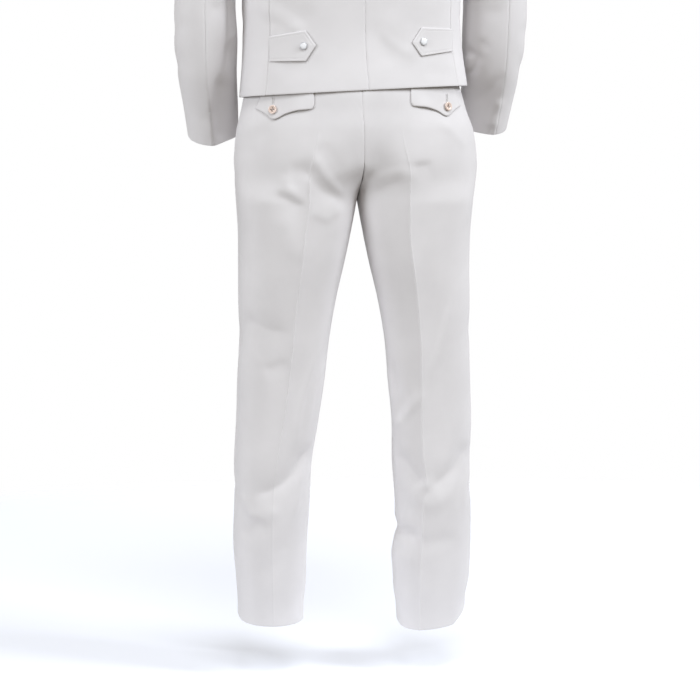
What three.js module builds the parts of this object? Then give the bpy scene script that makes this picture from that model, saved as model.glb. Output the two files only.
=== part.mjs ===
import * as THREE from 'three';

// A western suit in its worn, hollow form: a waist-length jacket over pressed trousers.
// Millimetres. The origin is the middle of the waist, the front faces -Y, the wearer's left is +X
// and up is +Z. Tables run upwards in z, one row for each section of the garment.

const wall = 2; // jacket and trouser cloth with its fusing
const trimWall = 1.6; // tabs, flaps, lapels and the fly strip
const seamGap = 0.3; // left between two pieces that are sewn edge to edge
const layGap = 0.4; // left under a fastener, or between the two fronts
const softGap = 0.9; // left under a tab, flap or lapel, which stands off its panel a little
const quarter = Math.PI / 2;

const stone = { color: 0xd9dbdd, roughness: 0.85, metalness: 0 };
const pearl = { color: 0xe9ebee, roughness: 0.25, metalness: 0 };
const rose = { color: 0xc9a79a, roughness: 0.4, metalness: 0 };

// ---- jacket sizes ----

// half: half the width; back and front: how far they stand off the middle; lean: shift to the wearer's left;
// square: how boxy the section is, 2 being an ellipse
const jacketRows = [
  { z: -64, half: 204, back: 117, front: 122, lean: 4, square: 2.55 },
  { z: 20, half: 196, back: 112, front: 119, lean: 6, square: 2.3 },
  { z: 98, half: 195, back: 116, front: 121, lean: 7, square: 2.3 },
  { z: 180, half: 191, back: 124, front: 127, lean: 5, square: 2.3 },
  { z: 250, half: 187, back: 130, front: 132, lean: 3, square: 2.3 },
  { z: 320, half: 193, back: 131, front: 128, lean: 2, square: 2.2 },
  { z: 400, half: 214, back: 119, front: 106, lean: 1, square: 2.1 },
  { z: 455, half: 229, back: 99, front: 76, lean: 0, square: 2 },
  { z: 490, half: 150, back: 83, front: 55, lean: 0, square: 2 },
  { z: 518, half: 76, back: 68, front: 44, lean: 0, square: 2 },
];
const hemZ = -64; // height of the jacket's hem at the centre back
const hemTilt = -0.052; // the hem drops towards the wearer's left
const hemTiltReach = 170; // height over which that tilt fades out
const seamBend = 60; // the side seams run straight up to here
const seamTop = 300; // and curve out to the armhole up to here
const shoulderTip = 455;
const neckTop = 518;
const armhole = { z: 363, y: 2, half: 92, depth: 62 }; // an upright ellipse in the jacket's side
const rollZ = 60; // where the lapels start to roll back
const rollBow = 0.9; // below 1 the roll bows out over the chest
const overlap = 16; // the left front passes the middle by this much
const neckHalf = 76; // x of the front's edge at the neck
// where the left front has stepped out over the right one: in x from the edge inwards, in z to the chest
const lapStep = { full: 30, ends: 70, fullZ: 160, endsZ: 220 };

// share of the way round from the centre back (0) to the side (0.25) and the centre front (0.5)
const sideBackTurn = { left: 0.14, right: 0.158 };
const sideFrontTurn = 0.335;
const centreBackTurn = -0.004;

// ---- sleeve sizes, for the wearer's left; the right one is mirrored with its own rows ----

// x and y: middle of the section; halfX and halfY: its half sizes; tilt: how much its back hangs lower
const sleeveRows = {
  left: [
    { z: -143, x: 250, y: -64, halfX: 46, halfY: 46, tilt: 0.4 },
    { z: -90, x: 256, y: -45, halfX: 49, halfY: 50, tilt: 0.36 },
    { z: -30, x: 264, y: -22, halfX: 53, halfY: 55, tilt: 0.26 },
    { z: 30, x: 267, y: -8, halfX: 56, halfY: 58, tilt: 0.12 },
    { z: 98, x: 268, y: -2, halfX: 54, halfY: 61, tilt: 0.04 },
    { z: 170, x: 261, y: 0, halfX: 56, halfY: 66, tilt: 0 },
    { z: 240, x: 248, y: 2, halfX: 57, halfY: 71, tilt: 0 },
  ],
  right: [
    { z: -126, x: 241, y: -62, halfX: 45, halfY: 46, tilt: 0.36 },
    { z: -75, x: 247, y: -44, halfX: 48, halfY: 50, tilt: 0.32 },
    { z: -25, x: 252, y: -22, halfX: 51, halfY: 55, tilt: 0.24 },
    { z: 30, x: 255, y: -8, halfX: 54, halfY: 58, tilt: 0.12 },
    { z: 98, x: 256, y: -2, halfX: 54, halfY: 61, tilt: 0.04 },
    { z: 170, x: 252, y: 0, halfX: 56, halfY: 66, tilt: 0 },
    { z: 240, x: 248, y: 2, halfX: 57, halfY: 71, tilt: 0 },
  ],
};
const sleeveTop = 240; // height of the underarm
const hindSeam = { left: 0.53, right: 0.57 }; // half turns from the inside of the arm, round the back
const foreSeam = { left: 1.62, right: 1.64 };
const fullRound = 2; // half turns
// heights of a sleeve's rows: the cuff is 0, the underarm 1 and the armhole 2
const sleeveStops = [0, 0.16, 0.32, 0.48, 0.6, 0.72, 0.86, 1, 1.25, 1.5, 1.75, 2];
// flare, seat: how far the head's edge lies outside the armhole and off the jacket; the others: how strongly
// the head leaves the arm at its inside and outside, leans out, swells at the armhole and tucks in
const sleeveHead = {
  flare: 4, seat: 2.4, insideRise: 20, outsideRise: 210, leanOut: 0.1, swell: 150, tuck: 22,
};

// ---- trouser sizes ----

const pelvisRows = [
  { z: -270, half: 216, back: 104, front: 96, lean: 1 },
  { z: -229, half: 219, back: 113, front: 102, lean: 0 },
  { z: -186, half: 219, back: 119, front: 107, lean: 0 },
  { z: -133, half: 213, back: 119, front: 110, lean: 1 },
  { z: -100, half: 203, back: 116, front: 111, lean: 3 },
  { z: -62, half: 193, back: 113.4, front: 111, lean: 4 },
  { z: -36, half: 182, back: 106, front: 109, lean: 4 },
  { z: 0, half: 172, back: 99, front: 106, lean: 4 },
];
const pelvisSquare = 2.3; // how boxy the hips are, 2 being an ellipse
const seatBias = 0.25; // below 1 the hip columns crowd towards the seams at the centre
const crotchZ = -252;
const forkTop = -116; // the hips turn into two legs between here
const forkEnd = -262; // and here
const forkBend = 1.8; // above 1 they turn late
const bandZ = -38; // lower edge of the waistband

// inner and outer: the leg's edges from the middle; back and front: its faces; crease: how far the pressed
// edges stand out
const legRows = {
  left: [
    { z: -1040, inner: 98, outer: 215, back: 80, front: 64, crease: 3 },
    { z: -984, inner: 97, outer: 215, back: 80, front: 63, crease: 3 },
    { z: -947, inner: 93, outer: 217, back: 82, front: 62, crease: 4 },
    { z: -874, inner: 91, outer: 222, back: 84, front: 62, crease: 4 },
    { z: -800, inner: 86, outer: 220, back: 86, front: 64, crease: 4 },
    { z: -727, inner: 82, outer: 220, back: 84, front: 70, crease: 4 },
    { z: -654, inner: 70, outer: 216, back: 81, front: 77, crease: 5 },
    { z: -582, inner: 59, outer: 214, back: 81, front: 81, crease: 5 },
    { z: -509, inner: 51, outer: 210, back: 84, front: 83, crease: 5 },
    { z: -437, inner: 39, outer: 211, back: 89, front: 85, crease: 5 },
    { z: -365, inner: 23, outer: 211, back: 95, front: 88, crease: 4 },
    { z: -310, inner: 12, outer: 211, back: 99, front: 91, crease: 3 },
    { z: -252, inner: 0, outer: 214, back: 103, front: 95, crease: 2 },
    { z: -160, inner: 0, outer: 212, back: 108, front: 100, crease: 0 },
  ],
  right: [
    { z: -1040, inner: 78, outer: 198, back: 80, front: 64, crease: 3 },
    { z: -990, inner: 76, outer: 200, back: 80, front: 63, crease: 3 },
    { z: -953, inner: 71, outer: 206, back: 82, front: 62, crease: 4 },
    { z: -879, inner: 72, outer: 209, back: 84, front: 62, crease: 4 },
    { z: -805, inner: 74, outer: 209, back: 86, front: 64, crease: 4 },
    { z: -731, inner: 69, outer: 207, back: 84, front: 70, crease: 4 },
    { z: -658, inner: 67, outer: 210, back: 81, front: 77, crease: 5 },
    { z: -585, inner: 59, outer: 208, back: 81, front: 81, crease: 5 },
    { z: -512, inner: 53, outer: 206, back: 84, front: 83, crease: 5 },
    { z: -439, inner: 41, outer: 206, back: 89, front: 85, crease: 5 },
    { z: -367, inner: 24, outer: 205, back: 95, front: 88, crease: 4 },
    { z: -310, inner: 12, outer: 206, back: 99, front: 91, crease: 3 },
    { z: -252, inner: 0, outer: 210, back: 103, front: 95, crease: 2 },
    { z: -160, inner: 0, outer: 210, back: 108, front: 100, crease: 0 },
  ],
};
const legMiddle = 108; // x that the legs' folds stand out from
const legSquare = 0.9; // below 1 a leg is boxier than an ellipse
const creaseReach = 0.29; // half width of a pressed edge, as a share of half the leg
const legTurn = 200; // length of cloth from the inseam to the side seam
// z of the hem in the middle of the leg, how it slopes outwards and to the back, and where the slope starts
const legHem = {
  middle: 150,
  start: -900,
  flickFrom: 168, // x beyond which the hem rises steeply
  left: { z: -1007, outwards: 0, backwards: -0.1, flick: 0 },
  right: { z: -1016, outwards: 0.14, backwards: -0.12, flick: 0.65 },
};

// the largest folds: turn and z of each end, half width and height, a trough being below zero
const legFolds = {
  left: [
    { fromTurn: 0.75, fromZ: -205, toTurn: 0.3, toZ: -255, reach: 20, height: -4 },
    { fromTurn: 0.3, fromZ: -645, toTurn: 0.85, toZ: -775, reach: 18, height: -5 },
    { fromTurn: 0.3, fromZ: -700, toTurn: 0.85, toZ: -815, reach: 16, height: 4 },
    { fromTurn: 1.25, fromZ: -620, toTurn: 1.75, toZ: -650, reach: 18, height: 3 },
    { fromTurn: 1.2, fromZ: -955, toTurn: 1.8, toZ: -970, reach: 18, height: -5 },
  ],
  right: [
    { fromTurn: 0.7, fromZ: -195, toTurn: 0.3, toZ: -240, reach: 20, height: -3 },
    { fromTurn: 0.16, fromZ: -750, toTurn: 0.5, toZ: -785, reach: 16, height: 4 },
    { fromTurn: 0.5, fromZ: -785, toTurn: 0.9, toZ: -710, reach: 16, height: 4 },
    { fromTurn: 0.02, fromZ: -845, toTurn: 0.3, toZ: -815, reach: 16, height: -5 },
    { fromTurn: 1.25, fromZ: -625, toTurn: 1.75, toZ: -645, reach: 18, height: 3 },
    { fromTurn: 1.2, fromZ: -955, toTurn: 1.8, toZ: -970, reach: 18, height: -5 },
  ],
};

// ---- pieces that lie on the panels, their x counted from the middle ----

const tab = {
  tipHalf: 0.6,
  tip: 85,
  shoulder: 102,
  root: 162,
  shoulderHalf: 26,
  rootHalf: 21,
  z: { left: { tip: 16, root: 12 }, right: { tip: 17, root: 21 } },
};
const snap = { x: 105, radius: 6.6, height: 3.2 };
const frontSnaps = [42, -24];
const fastenerSides = 16;
// shares of a fastener's radius and height, from its foot round the rim to its middle
const fastenerProfile = [
  { out: 0, up: 0 }, { out: 0.92, up: 0 }, { out: 1, up: 0.45 }, { out: 0.84, up: 1 }, { out: 0.6, up: 0.86 },
  { out: 0, up: 1 },
];

// drop: how far above the flap's point its lower edge lies, from the inner (0) to the outer edge (1)
const flap = {
  shift: { left: -2, right: -8 },
  inner: 90,
  outer: 187,
  outerTop: 172,
  top: -54,
  point: { left: -115, right: -109 },
  edge: [
    { z: 0, drop: 29 },
    { z: 0.04, drop: 21 },
    { z: 0.12, drop: 18 },
    { z: 0.3, drop: 15 },
    { z: 0.5, drop: 9 },
    { z: 0.7, drop: 0 },
    { z: 0.86, drop: 11 },
    { z: 1, drop: 19 },
  ],
};
const flapStops = [0, 0.04, 0.12, 0.24, 0.36, 0.48, 0.59, 0.7, 0.8, 0.9, 1];
const button = { x: 158, abovePoint: 17, radius: 7.8, height: 3 };
const waistButtonTurn = 1.93;
const fly = { width: 0.26, top: -41, bottom: -166, foot: 0.25, spread: 2.4 };
// gorge and notch are counted in from the roll, as width is; belly: how far its edge bows out
const lapel = { bottom: 158, top: 447, gorge: 25, notch: 40, notchSlope: 0.75, foot: 2, width: 84, belly: 0.4 };
// shoulder: share of the collar's half at the shoulder seam; backFall, shoulderFall: how much z a step down
// the cloth takes there; spread: how far it moves out at the front; flatten, shrink: the fold at the front
const collar = {
  endZ: 449, slope: 0.3, shoulder: 0.6, backFall: 0.88, shoulderFall: 0.42, spread: 0.94, flatten: 0.7,
  shrink: 0.5,
};
// out and rise from the neck edge on the stand and the fold, then how far down the jacket the fall lies
const collarSection = [
  { out: -0.5, rise: 0.6 }, { out: -2, rise: 10 }, { out: -1, rise: 17 }, { out: 3, rise: 20.5 },
  { out: 7, rise: 16 }, { down: 15, off: 7 }, { down: 30, off: 5 }, { down: 44, off: 4 },
];
// columns of the collar, closer together at the shoulder seam
const collarStops = [0.12, 0.24, 0.36, 0.48, 0.56, 0.6, 0.63, 0.68, 0.75, 0.83, 0.92, 1];

// ---- small helpers ----

const clamp = (value, low, high) => Math.min(Math.max(value, low), high);
const mix = (from, to, share) => from + (to - from) * share;
const smooth = (share) => clamp(share, 0, 1) ** 2 * (3 - 2 * clamp(share, 0, 1));
const bend = (value, exponent) => Math.sign(value) * Math.abs(value) ** exponent;

// The smooth value of one column of a table at a height.
function column(rows, z, name) {
  let i = 0;
  while (i < rows.length - 2 && z > rows[i + 1].z) i += 1;
  const low = rows[i];
  const high = rows[i + 1];
  const before = rows[Math.max(i - 1, 0)];
  const after = rows[Math.min(i + 2, rows.length - 1)];
  const span = high.z - low.z;
  const share = clamp((z - low.z) / span, 0, 1);
  const slopeLow = ((high[name] - before[name]) / (high.z - before.z)) * span;
  const slopeHigh = ((after[name] - low[name]) / (after.z - low.z)) * span;
  const rise = high[name] - low[name];
  const cubic = slopeLow + slopeHigh - 2 * rise;
  return low[name] + share * (slopeLow + share * (3 * rise - 2 * slopeLow - slopeHigh + share * cubic));
}

// Height of the folds at one spot: each is a soft ridge or trough along a straight run.
function foldHeight(folds, turn, z, turnLength) {
  let total = 0;
  for (const fold of folds) {
    const run = new THREE.Vector2((fold.toTurn - fold.fromTurn) * turnLength, fold.toZ - fold.fromZ);
    const spot = new THREE.Vector2((turn - fold.fromTurn) * turnLength, z - fold.fromZ);
    const along = clamp(spot.dot(run) / run.lengthSq(), 0, 1);
    const apart = spot.clone().addScaledVector(run, -along).length() / fold.reach;
    total += fold.height * Math.exp(-apart * apart);
  }
  return total;
}

// ---- cloth ----

// The outward side of a surface at one spot, from its slopes across and up.
function outward(surface, across, up, side) {
  const step = 0.004;
  const acrossSlope = surface(across + step, up).sub(surface(across - step, up));
  const upSlope = surface(across, up + step).sub(surface(across, up - step));
  return upSlope.cross(acrossSlope).multiplyScalar(side).normalize();
}

// A closed wall of cloth on surface(across, up), both running from 0 to 1. The outside lies `lift` above the
// surface and every edge is drawn in by half a seam gap.
function clothWall(name, surface, { acrossStops, upStops, side = 1, lift = 0, thickness = wall }) {
  const rows = upStops.map((up) => acrossStops.map((across) => {
    const normal = outward(surface, across, up, side);
    const outside = surface(across, up).addScaledVector(normal, lift);
    const inside = outside.clone().addScaledVector(normal, -thickness);
    return { outside, inside };
  }));
  drawIn(rows);
  const lastRow = rows.length - 1;
  const lastColumn = acrossStops.length - 1;
  const points = [];
  for (const layer of ['outside', 'inside']) {
    for (const row of rows) for (const spot of row) points.push(...spot[layer].toArray());
  }
  const index = (layer, row, place) => (layer * (lastRow + 1) + row) * (lastColumn + 1) + place;
  const faces = [];
  const quad = (a, b, c, d) => {
    if (side > 0) faces.push(a, c, b, a, d, c);
    else faces.push(a, b, c, a, c, d);
  };
  for (let row = 0; row < lastRow; row += 1) {
    for (let place = 0; place < lastColumn; place += 1) {
      quad(index(0, row, place), index(0, row, place + 1),
        index(0, row + 1, place + 1), index(0, row + 1, place));
      quad(index(1, row, place), index(1, row + 1, place),
        index(1, row + 1, place + 1), index(1, row, place + 1));
    }
    quad(index(0, row + 1, 0), index(1, row + 1, 0), index(1, row, 0), index(0, row, 0));
    quad(index(0, row, lastColumn), index(1, row, lastColumn),
      index(1, row + 1, lastColumn), index(0, row + 1, lastColumn));
  }
  for (let place = 0; place < lastColumn; place += 1) {
    quad(index(0, 0, place), index(1, 0, place), index(1, 0, place + 1), index(0, 0, place + 1));
    quad(index(0, lastRow, place + 1), index(1, lastRow, place + 1),
      index(1, lastRow, place), index(0, lastRow, place));
  }
  return namedMesh(name, points, faces, stone);
}

// Draws the four edges of a grid of spots in by half a seam gap.
function drawIn(rows) {
  const pull = (edge, next) => {
    for (const layer of ['outside', 'inside']) {
      const step = next[layer].clone().sub(edge[layer]).setLength(seamGap / 2);
      edge[layer].add(step);
    }
  };
  for (const row of rows) {
    pull(row[0], row[1]);
    pull(row[row.length - 1], row[row.length - 2]);
  }
  rows[0].forEach((spot, place) => pull(spot, rows[1][place]));
  rows[rows.length - 1].forEach((spot, place) => pull(spot, rows[rows.length - 2][place]));
}

function namedMesh(name, points, faces, finish) {
  const geometry = new THREE.BufferGeometry();
  geometry.setAttribute('position', new THREE.Float32BufferAttribute(points, 3));
  geometry.setIndex(faces);
  geometry.computeVertexNormals();
  return named(name, geometry, finish);
}

function named(name, geometry, finish) {
  const mesh = new THREE.Mesh(geometry, new THREE.MeshStandardMaterial(finish));
  mesh.name = name;
  return mesh;
}

const evenStops = (count) => Array.from({ length: count + 1 }, (_, i) => i / count);

// ---- the jacket's body ----

function jacketPoint(turn, z) {
  const angle = 4 * quarter * turn;
  const power = 2 / column(jacketRows, z, 'square');
  const depth = column(jacketRows, z, Math.cos(angle) > 0 ? 'back' : 'front');
  const x = column(jacketRows, z, 'lean') + column(jacketRows, z, 'half') * bend(Math.sin(angle), power);
  const y = depth * bend(Math.cos(angle), power);
  const fade = clamp(1 - (z - hemZ) / hemTiltReach, 0, 1);
  return new THREE.Vector3(x, y, z + hemTilt * x * fade);
}

// The share of a turn, counted towards one side, at which the jacket is `reach` out from the middle.
function jacketTurn(side, reach, z, onFront = false) {
  const share = clamp((reach - side * column(jacketRows, z, 'lean')) / column(jacketRows, z, 'half'), -1, 1);
  const turn = Math.asin(bend(share, column(jacketRows, z, 'square') / 2)) / (4 * quarter);
  return onFront ? 0.5 - turn : turn;
}

// The share of a turn at which the wearer's left side of the jacket has a given y.
function sideTurn(y, z) {
  const depth = column(jacketRows, z, y > 0 ? 'back' : 'front');
  const share = clamp(Math.abs(y) / depth, 0, 1) ** (column(jacketRows, z, 'square') / 2);
  return 0.25 - (Math.sign(y) * Math.asin(share)) / (4 * quarter);
}

// The share of a turn of the armhole's back (1) or front (-1) edge at a height.
function armholeTurn(z, facing) {
  const rise = clamp((z - armhole.z) / armhole.half, -1, 1);
  return sideTurn(armhole.y + facing * armhole.depth * Math.sqrt(1 - rise * rise), z);
}

const bodyLevels = [hemZ, -25, 12, 50, 98, 160, 215, 262, seamTop];
const chestLevels = [335, 370, 402, 430, 447, shoulderTip];
const shoulderLevels = [468, 481, 494, 506, neckTop];
const jacketLevels = [...bodyLevels, ...chestLevels, ...shoulderLevels];

// The edge of the back or front at a height: side seam, armhole, then shoulder seam.
function outerEdge(z, seamTurn, facing) {
  if (z >= shoulderTip) return 0.25;
  const onArmhole = armholeTurn(Math.max(z, seamTop), facing);
  if (z >= seamTop) return onArmhole;
  const share = clamp((z - seamBend) / (seamTop - seamBend), 0, 1);
  return mix(seamTurn, onArmhole, share * share);
}

// Stops for `surface(across, up)` where up counts along a list of heights.
const levelStops = (levels) => levels.map((_, i) => i / (levels.length - 1));
function levelAt(levels, up) {
  const place = up * (levels.length - 1);
  const i = clamp(Math.floor(place), 0, levels.length - 2);
  return mix(levels[i], levels[i + 1], place - i);
}

function jacketBack(side, word) {
  const surface = (across, up) => {
    const z = levelAt(jacketLevels, up);
    const edge = outerEdge(z, sideBackTurn[word], 1);
    return jacketPoint(mix(centreBackTurn, side * edge, across), z);
  };
  return clothWall(`jacket_back_${word}`, surface, {
    acrossStops: evenStops(7), upStops: levelStops(jacketLevels), side,
  });
}

function jacketSide(side, word) {
  const scoopDepth = seamTop - armhole.z + armhole.half;
  const surface = (across, up) => {
    const z = levelAt(bodyLevels, up);
    const turn = mix(outerEdge(z, sideBackTurn[word], 1), outerEdge(z, sideFrontTurn, -1), across);
    const scoop = Math.sqrt(1 - (2 * clamp(across, 0, 1) - 1) ** 2) * scoopDepth;
    return jacketPoint(side * turn, z - (scoop * (z - hemZ)) / (seamTop - hemZ));
  };
  return clothWall(`jacket_side_${word}`, surface, {
    acrossStops: evenStops(5), upStops: levelStops(bodyLevels), side,
  });
}

// x of the front's free edge: straight up to the top snap, then out along the roll of the lapel.
function frontEdge(z) {
  const share = clamp((z - rollZ) / (neckTop - rollZ), 0, 1);
  return mix(-overlap, neckHalf, share ** rollBow);
}

// A spot on a front. The left one passes over the right one, so it steps out near the middle.
function frontPoint(side, turn, z) {
  const spot = jacketPoint(side * turn, z);
  const nearEdge = smooth((lapStep.ends - side * spot.x) / (lapStep.ends - lapStep.full));
  const nearFoot = smooth((lapStep.endsZ - z) / (lapStep.endsZ - lapStep.fullZ));
  if (side > 0) spot.y -= (wall + 2 * layGap) * nearEdge * nearFoot;
  return spot;
}

function jacketFront(side, word) {
  const surface = (across, up) => {
    const z = levelAt(jacketLevels, up);
    const turn = mix(outerEdge(z, sideFrontTurn, -1), jacketTurn(side, frontEdge(z), z, true), across);
    return frontPoint(side, turn, z);
  };
  return clothWall(`jacket_front_${word}`, surface, {
    acrossStops: evenStops(7), upStops: levelStops(jacketLevels), side,
  });
}

// ---- what lies on the jacket ----

function sideTab(side, word) {
  const level = tab.z[word];
  const shoulderShare = (tab.shoulder - tab.tip) / (tab.root - tab.tip);
  const surface = (across, up) => {
    const past = (across - shoulderShare) / (1 - shoulderShare);
    const half = past < 0 ? mix(tab.tipHalf, tab.shoulderHalf, across / shoulderShare)
      : mix(tab.shoulderHalf, tab.rootHalf, past);
    const z = mix(level.tip, level.root, across) + half * (2 * up - 1);
    return jacketPoint(side * jacketTurn(side, mix(tab.tip, tab.root, across), z), z);
  };
  return clothWall(`tab_${word}`, surface, {
    acrossStops: [0, ...evenStops(6).map((share) => mix(shoulderShare, 1, share))],
    upStops: evenStops(2),
    side,
    lift: softGap + trimWall,
    thickness: trimWall,
  });
}

// A turned fastener on the axis +Y, seated on a surface by its place and outward side.
function fastener(name, place, away, { radius, height }, finish) {
  const profile = fastenerProfile.map((spot) => new THREE.Vector2(radius * spot.out, height * spot.up));
  const mesh = named(name, new THREE.LatheGeometry(profile, fastenerSides), finish);
  mesh.position.copy(place);
  mesh.quaternion.setFromUnitVectors(new THREE.Vector3(0, 1, 0), away);
  return mesh;
}

function tabSnap(side, word) {
  const z = mix(tab.z[word].tip, tab.z[word].root, (snap.x - tab.tip) / (tab.root - tab.tip));
  const turn = side * jacketTurn(side, snap.x, z);
  const away = outward(jacketPoint, turn, z, 1);
  const place = jacketPoint(turn, z).addScaledVector(away, softGap + trimWall + layGap);
  return fastener(`tab_snap_${word}`, place, away, snap, pearl);
}

function frontSnap(z, place) {
  const surface = (turn, height) => frontPoint(1, turn, height);
  const turn = jacketTurn(1, 0, z, true);
  const away = outward(surface, turn, z, 1);
  const spot = surface(turn, z).addScaledVector(away, layGap);
  return fastener(`front_snap_${place + 1}`, spot, away, snap, pearl);
}

// The turned-back edge of a front, from its free edge (0) to the roll (1).
function turnedLapel(side, word) {
  const surface = (across, up) => {
    const rise = mix(up, smooth(up * 1.25), lapel.belly);
    const reach = (1 - across) * mix(lapel.foot, lapel.width, rise);
    const notch = clamp(reach - lapel.gorge, 0, lapel.notch - lapel.gorge);
    const drop = collar.slope * Math.min(reach, lapel.gorge) + lapel.notchSlope * notch;
    const z = mix(lapel.bottom, lapel.top, up) - drop * smooth(up);
    return frontPoint(side, jacketTurn(side, frontEdge(z) + reach, z, true), z);
  };
  const place = (reach) => 1 - reach / lapel.width;
  return clothWall(`lapel_${word}`, surface, {
    acrossStops: [0, 0.26, place(lapel.notch), place(lapel.gorge), place(lapel.gorge / 2), 1],
    upStops: evenStops(9),
    side,
    lift: softGap + trimWall,
    thickness: trimWall,
  });
}

// How far past the shoulder seam a share of the collar's half lies: 1 at its end.
const pastShoulder = (share) => (Math.abs(share) - collar.shoulder) / (1 - collar.shoulder);

// A spot on the jacket beside the neck: share runs from the left end (-1) round the back to the right end
// (1), down is how far below the neck edge it lies along the cloth.
function besideNeck(share, down) {
  const side = Math.sign(share) || 1;
  const toFront = pastShoulder(share);
  if (toFront <= 0) {
    const round = Math.abs(share) / collar.shoulder;
    return [side * 0.25 * round, neckTop - down * mix(collar.backFall, collar.shoulderFall, round * round)];
  }
  const shoulderZ = neckTop - collar.shoulderFall * down;
  const z = mix(shoulderZ, collar.endZ - collar.slope * down, toFront);
  const atShoulder = column(jacketRows, shoulderZ, 'half');
  const reach = mix(atShoulder, frontEdge(collar.endZ) + collar.spread * down, toFront);
  return [side * jacketTurn(side, reach, z, true), z];
}

// The collar stands on the neck edge, folds over and falls on the jacket.
function foldedCollar() {
  const bothHalves = [...collarStops.map((share) => -share).reverse(), 0, ...collarStops];
  const spotOn = (share, row) => {
    if (row.down) {
      const [turn, z] = besideNeck(share, row.down);
      return jacketPoint(turn, z).addScaledVector(outward(jacketPoint, turn, z, 1), row.off);
    }
    const [turn, z] = besideNeck(share, 0);
    const away = outward(jacketPoint, turn, z, 1).setZ(0).normalize();
    const toFront = smooth(pastShoulder(share));
    const rise = new THREE.Vector3(-Math.sign(share) * toFront, 0, 1 - collar.flatten * toFront);
    const spot = jacketPoint(turn, z).addScaledVector(away, row.out);
    return spot.addScaledVector(rise, row.rise * mix(1, collar.shrink, toFront));
  };
  const surface = (across, up) => {
    const last = collarSection.length - 1;
    const i = clamp(Math.floor(up * last), 0, last - 1);
    const share = mix(-1, 1, across);
    const low = spotOn(share, collarSection[last - i]);
    return low.lerp(spotOn(share, collarSection[last - 1 - i]), clamp(up, 0, 1) * last - i);
  };
  return clothWall('collar', surface, {
    acrossStops: bothHalves.map((share) => (share + 1) / 2),
    upStops: levelStops(collarSection),
    thickness: trimWall,
  });
}

const suit = new THREE.Group();
const sides = [[1, 'left'], [-1, 'right']];
for (const [side, word] of sides) {
  suit.add(jacketBack(side, word), jacketSide(side, word), jacketFront(side, word));
  suit.add(sideTab(side, word), tabSnap(side, word), turnedLapel(side, word));
}
suit.add(...frontSnaps.map(frontSnap), foldedCollar());

// ---- sleeves ----

// A spot on a sleeve: turn counts half turns from the inside of the arm round the back, up runs from the
// cuff (0) to the underarm (1) and on over the head to the armhole (2).
function sleevePoint(side, turn, up) {
  const rows = side > 0 ? sleeveRows.left : sleeveRows.right;
  const cuff = rows[0].z;
  const z = up < 1 ? mix(cuff, sleeveTop, up) : sleeveTop;
  const angle = 2 * quarter * turn;
  const spot = new THREE.Vector3(
    column(rows, z, 'x') - column(rows, z, 'halfX') * Math.cos(angle),
    column(rows, z, 'halfY') * Math.sin(angle),
    z,
  );
  spot.z -= column(rows, z, 'tilt') * spot.y;
  spot.y += column(rows, z, 'y');
  if (up > 1) headPoint(spot, side, turn, up - 1);
  spot.x *= side;
  return spot;
}

// Carries a spot from the underarm ring over the sleeve head to the edge of the armhole.
function headPoint(spot, side, turn, share) {
  const angle = 2 * quarter * turn;
  const z = armhole.z - (armhole.half + sleeveHead.flare) * Math.cos(angle);
  const y = armhole.y + (armhole.depth + sleeveHead.flare) * Math.sin(angle);
  const seat = sideTurn(y, z);
  const away = outward(jacketPoint, side * seat, z, 1);
  const end = jacketPoint(side * seat, z).addScaledVector(away, sleeveHead.seat);
  away.x *= side;
  end.x *= side;
  const outerShare = (1 - Math.cos(angle)) / 2;
  const start = spot.clone();
  const rise = new THREE.Vector3(sleeveHead.leanOut, 0, 1);
  rise.multiplyScalar(mix(sleeveHead.insideRise, sleeveHead.outsideRise, outerShare));
  const inwards = away.clone().multiplyScalar(-sleeveHead.swell * outerShare);
  inwards.z += sleeveHead.tuck * (1 - outerShare) ** 3;
  const s = share;
  spot.copy(start).multiplyScalar(1 + s * s * (2 * s - 3));
  spot.addScaledVector(end, s * s * (3 - 2 * s));
  spot.addScaledVector(rise, s * (1 - s) * (1 - s));
  spot.addScaledVector(inwards, s * s * (s - 1));
}

function sleevePanel(side, name, fromTurn, toTurn, columns) {
  const surface = (across, up) => sleevePoint(side, mix(fromTurn, toTurn, across), 2 * up);
  return clothWall(name, surface, {
    acrossStops: evenStops(columns), upStops: sleeveStops.map((stop) => stop / 2), side,
  });
}

for (const [side, word] of sides) {
  suit.add(sleevePanel(side, `sleeve_top_${word}`, hindSeam[word], foreSeam[word], 8));
  suit.add(sleevePanel(side, `sleeve_under_${word}`, foreSeam[word] - fullRound, hindSeam[word], 6));
}

// ---- trousers ----

// A spot on the hips: turn 0 is the centre back, 1 the side seam, 2 the centre front.
function pelvisPoint(turn, z) {
  const toBack = turn < 1;
  const near = toBack ? turn : 2 - turn;
  const angle = quarter * near * mix(seatBias, 1, Math.abs(near));
  const power = 2 / pelvisSquare;
  const x = column(pelvisRows, z, 'half') * bend(Math.sin(angle), power);
  const y = column(pelvisRows, z, toBack ? 'back' : 'front') * bend(Math.cos(angle), power);
  return new THREE.Vector3(x, toBack ? y : -y, z);
}

function legPoint(rows, turn, z) {
  const angle = 2 * quarter * turn;
  const inner = column(rows, z, 'inner');
  const outer = column(rows, z, 'outer');
  const toBack = Math.sin(angle) > 0;
  const depth = column(rows, z, toBack ? 'back' : 'front');
  const fromCrease = Math.abs(Math.cos(angle));
  const crease = column(rows, z, 'crease') * Math.max(0, 1 - fromCrease / creaseReach);
  const x = mix(inner, outer, (1 - Math.cos(angle)) / 2);
  return new THREE.Vector3(x, (depth + crease) * bend(Math.sin(angle), legSquare), z);
}

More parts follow.
